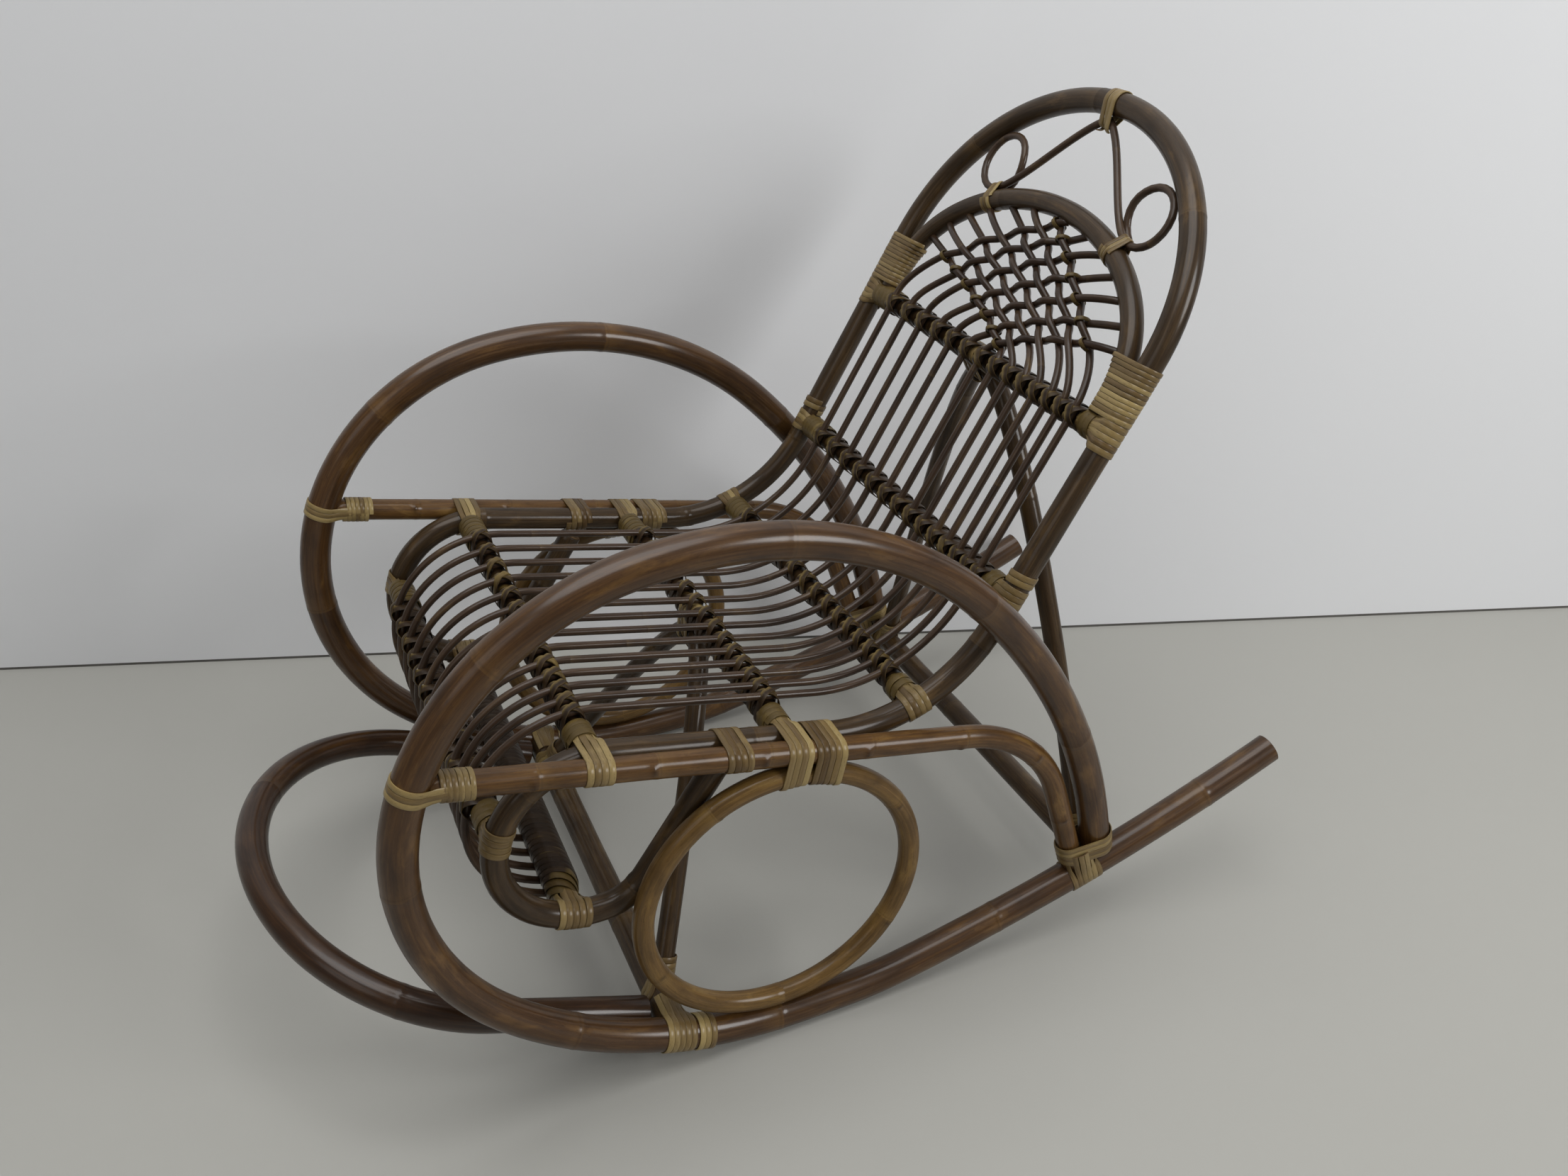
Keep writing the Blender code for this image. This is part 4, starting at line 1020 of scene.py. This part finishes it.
# Bindings of the two braces
CROWN_REACH, LEG_REACH = 8, 14  # points of a brace beside its crown, and of its leg
for name, top, bar, foot, stretcher, stretcher_r in (
        ("seat_brace", seat_brace, middle_bar, seat_foot, front_axis, FRONT_STRETCHER_R),
        ("back_brace", back_brace, upper_bar, back_foot, rear_axis, REAR_STRETCHER_R)):
    skin = Skin("peel")
    middle = len(top) // 2
    crown = top[middle - CROWN_REACH:middle + CROWN_REACH + 1]
    toward = (in_space(0, bar) - top[middle]).normalized()
    winding(skin, [(crosswise(HALF_TRACK, bar), BAR_R + LASH_T), (crown, BRACE_R)], top[middle], across_x,
            toward, -2 * pitch, 4)
    leg_way = (top[CROWN_REACH] - top[0]).normalized()
    toward = Vector((0, leg_way.y, leg_way.z)).normalized()
    for label, side in SIDES:
        at, way = (Vector((side * v.x, v.y, v.z)) for v in (foot, leg_way))
        hook(skin, [(crosswise(HALF_TRACK, stretcher), stretcher_r)], at, across_x, toward, 3, BRACE_R,
             stretcher_r + STEM, run=way)
        winding(skin, [(top[:LEG_REACH] if side > 0 else top[-LEG_REACH:], BRACE_R)], at, way,
                toward.cross(across_x), stretcher_r + pitch, 3, lift=PEEL_T)
    skin.piece(f"peel_{name}")

# Peel lashed over the canes at every bar
cane_side.append(back_start + back_rise * (BACK_UPPER_BAR_HEIGHT + LATTICE_LEAVE) + back_front * cane_off)


def smooth(keys, parts):
    """Points of a smooth curve through every key."""
    keys = np.array(keys)
    keys = np.vstack([2 * keys[0] - keys[1], keys, 2 * keys[-1] - keys[-2]])
    made = []
    for a, b, c, d in zip(keys, keys[1:], keys[2:], keys[3:]):
        for t in np.arange(parts) / parts:
            made.append(0.5 * (2 * b + (c - a) * t + (2 * a - 5 * b + 4 * c - d) * t ** 2
                               + (3 * b - a - 3 * c + d) * t ** 3))
    return made + [keys[-2]]


def lay(skin, name, path, direction, width, thick=LASH_T, shade=0.3):
    """A strip along a bar from (x, q, h) points: along the bar, along the canes, out to the sitter."""
    place, _ = bars[name]
    out = (nearest(cane_side, place)[1] - place).normalized()
    side = Vector((out.y, -out.x))
    rows = []
    for x, q, h in path:
        flat = side * q + out * h
        x *= direction
        pale = 0 if cane_xs[0] - LASH_FOOT < x < cane_xs[-1] + LASH_FOOT else LASH_END_PALE
        # painted highlight: the strip's edge turns pale as it rides up over a cane's top
        edge_highlight = min(1, max(0, (h - cane_off) / CANE_R))
        rows.append((in_space(x, place + flat), in_space(0, flat.normalized()), pale, edge_highlight))
    points, normals, pales, edge_highlights = zip(*rows)
    skin.strip(points, normals, width, thick, shade * dice.uniform(0, 1), pales, edge_highlights)


def lash(skin, name, direction, lift):
    """A strip that runs along a bar, over each cane and round the bar between them."""
    keys, step = [], 360 / LASH_TURN
    bar_r = BAR_R + CANE_LIFT + lift
    top = cane_off + CANE_R + CLEAR / 2 + lift
    places = sorted(direction * x for x in cane_xs)
    end = bars[name][1] - FRAME_R - PEEL_W
    room = [LASH_FOOT / LASH_FOOT_SHARE] + [b - a for a, b in zip(places, places[1:])]
    feet = [min(LASH_FOOT, LASH_FOOT_SHARE * min(pair)) for pair in zip(room, room[1:] + room[:1])]
    edges = (places[0] - feet[0], places[-1] + feet[-1])
    steps = [LASH_TURN * round((end - abs(edge)) / (LASH_W + PEEL_GAP)) for edge in edges]

    def ring_point(x, angle, radius):
        keys.append((x, sin(radians(angle)) * radius, cos(radians(angle)) * radius))

    for i in range(steps[0]):
        angle = step * (i - steps[0]) - LASH_ANGLE
        ring_point(-end + (edges[0] + end) * i / steps[0], angle, bar_r + PEEL_T)
    for i, (x, foot) in enumerate(zip(places, feet)):
        ring_point(x - foot, -LASH_ANGLE, bar_r)
        for away, q, down in LASH_OVER:
            keys.append((x + away * foot / LASH_FOOT, q, top - down))
        ring_point(x + foot, LASH_ANGLE, bar_r)
        if i < CANES - 1:
            back = places[i + 1] - feet[i + 1] - x - foot
            for share in np.arange(1, LASH_BACK) / LASH_BACK:
                ring_point(x + foot + back * share, LASH_ANGLE + (360 - 2 * LASH_ANGLE) * share, bar_r)
    for i in range(1, steps[1] + 1):
        ring_point(edges[1] + (end - edges[1]) * i / steps[1], LASH_ANGLE + step * i, bar_r + PEEL_T)
    lay(skin, name, smooth(keys, LASH_PARTS), direction, LASH_W)


def cover(skin, name, start, starts, rise, width, thick, over_canes):
    """One of several strips that together hide a bar, with or without the canes on it."""
    end = bars[name][1] - FRAME_R - PEEL_W
    ring = []
    for angle in np.linspace(0, 2 * pi, COVER_SAMPLES + 1):
        on_cane = over_canes and CANE_R + cane_off * cos(angle) > BAR_R
        base, radius = (cane_off, CANE_R + CLEAR) if on_cane else (0, BAR_R + COVER_GAP)
        ring.append((radius * sin(angle), base + radius * cos(angle)))
    ring = np.array(ring)
    along = run_length(ring)
    along /= along[-1]
    path = []
    for k in range(round(2 * end / rise * COVER_SAMPLES)):
        share = (k / COVER_SAMPLES + start / starts) % 1
        q, h = (np.interp(share, along, ring[:, axis]) for axis in (0, 1))
        x = -end + rise * k / COVER_SAMPLES
        grow = 1 + (COVER_FAT * min(1, max(0, end - abs(x)) / COVER_TAPER) if over_canes else 0)
        path.append((x, q * grow, cane_off / 2 + (h - cane_off / 2) * grow))
    lay(skin, name, path, 1, width, thick, COVER_SHADE)


for name in bars:
    skin = Skin("lash")
    if name == "bar_scroll":
        for start in range(COVER_STRIPS):
            cover(skin, name, start, COVER_STRIPS, COVER_RISE, WRAP_W, LASH_T, True)
    else:
        cover(skin, name, 0, 1, LASH_W + PEEL_GAP, LASH_W, CANE_LIFT - COVER_GAP, False)
        lash(skin, name, 1, 0.0)
        lash(skin, name, -1, LASH_T + CLEAR / 2)
    skin.piece(f"lashing_{name}")

# Ties where the lattice's outermost upright canes cross the others
skin = Skin("lash")
out = np.array(in_space(0, back_front))
for i, j, (_, _, meet), level in crossings:
    if cane_ranks[j] not in TIE_RANKS:
        continue
    middle = np.array(on_back(meet.x, meet.y, level))
    lean = (1 if i % 2 else -1) * radians(TIE_LEAN)
    slant = np.array(Vector((cos(lean), 0, 0)) + up_back * sin(lean))
    points, normals = [], []
    for angle in np.linspace(0, TIE_TURNS * 2 * pi, TIE_SAMPLES):
        away = slant * (sin(angle) * TIE_HALF) + out * (cos(angle) * TIE_DEEP)
        points.append(middle + away * (1 + TIE_OPEN * angle))
        normals.append(normal(away))
    skin.strip(points, normals, TIE_W, LASH_T, 0.0, TIE_PALE)
skin.piece("lattice_ties")

# Floor, wall, lights and the photograph's camera
FLOOR_SIZE = 8.0
WALL_FOOT = ((-0.609, -0.649), (0.013, 1.062))
WALL_REACH, WALL_HEIGHT = 4.0, 3.0
SEAM_PROUD, SEAM_HEIGHT = 0.001, 0.003
LAMPS = {
    # place, width and watts
    "window": ((2.0, 1.5, 1.5), 1.2, 33),
    "ceiling": ((0.3, -0.3, 2.6), 2.2, 39),
    "fill": ((1.2, -1.8, 1.6), 1.4, 4),
}
LAMP_AIM = Vector((0, 0, 0.3))
WORLD_STRENGTH = 0.17


def matt(name, colour, one_sided):
    """Plain paint with a faint mottle; the wall shows only its front."""
    n = Nodes(name)
    place = n.add("ShaderNodeTexCoord")
    mottle = n.add("ShaderNodeTexNoise", Vector=place.outputs["Object"], Scale=1.7, Detail=3.0)
    pale = tuple(min(1, c * 1.05) for c in colour[:3]) + (1,)
    n.feed(n.shader, Base__Color=n.mix(mottle.outputs["Fac"], colour, pale), Roughness=0.6)
    if one_sided:
        clear = n.add("ShaderNodeBsdfTransparent")
        face = n.add("ShaderNodeNewGeometry")
        both = n.add("ShaderNodeMixShader", Fac=face.outputs["Backfacing"], _1=n.shader.outputs[0],
                     _2=clear.outputs[0])
        n.tree.links.new(both.outputs[0], n.tree.nodes["Material Output"].inputs["Surface"])
    return n.material


def sheet(name, corners, paint, colour, one_sided=True):
    mesh = bpy.data.meshes.new(name)
    mesh.from_pydata(corners, [], [(0, 1, 2, 3)])
    mesh.materials.append(matt(paint, srgb(*colour), one_sided))
    made = stand(name, mesh)
    made.visible_shadow = not one_sided


half = FLOOR_SIZE / 2
sheet("floor", [(-half, -half, 0), (half, -half, 0), (half, half, 0), (-half, half, 0)],
      "pale_floor", (164, 163, 157), one_sided=False)
(ax, ay), (bx, by) = WALL_FOOT
run = Vector((bx - ax, by - ay, 0)).normalized() * WALL_REACH
a, b = Vector((ax, ay, 0)) - run, Vector((bx, by, 0)) + run
top = Vector((0, 0, WALL_HEIGHT))
sheet("wall", [b, b + top, a + top, a], "pale_wall", (230, 231, 233))
proud, seam = run.cross(top).normalized() * SEAM_PROUD, Vector((0, 0, SEAM_HEIGHT))
sheet("wall_seam", [p + proud for p in (b, b + seam, a + seam, a)], "seam_shadow", (88, 86, 82))

for name, (place, width, watts) in LAMPS.items():
    light = bpy.data.lights.new(name, "AREA")
    light.shape, light.size, light.energy = "DISK", width, watts
    lamp = stand(name, light)
    lamp.location = place
    lamp.rotation_euler = (LAMP_AIM - Vector(place)).to_track_quat("-Z", "Y").to_euler()
world = bpy.data.worlds.new("studio")
world.use_nodes = True
sky = world.node_tree.nodes["Background"]
sky.inputs["Color"].default_value = (1, 1, 1, 1)
sky.inputs["Strength"].default_value = WORLD_STRENGTH
scene.world = world
scene.view_settings.view_transform = "Standard"

lens = bpy.data.cameras.new("photograph")
lens.sensor_fit = "HORIZONTAL"
lens.sensor_width = CAMERA_SENSOR
lens.lens = CAMERA_LENS
camera = stand("photograph", lens)
camera.location = CAMERA_PLACE
camera.rotation_euler = (radians(90 - CAMERA_PITCH), 0, radians(CAMERA_AZIMUTH))
scene.camera = camera
bpy.context.view_layer.update()
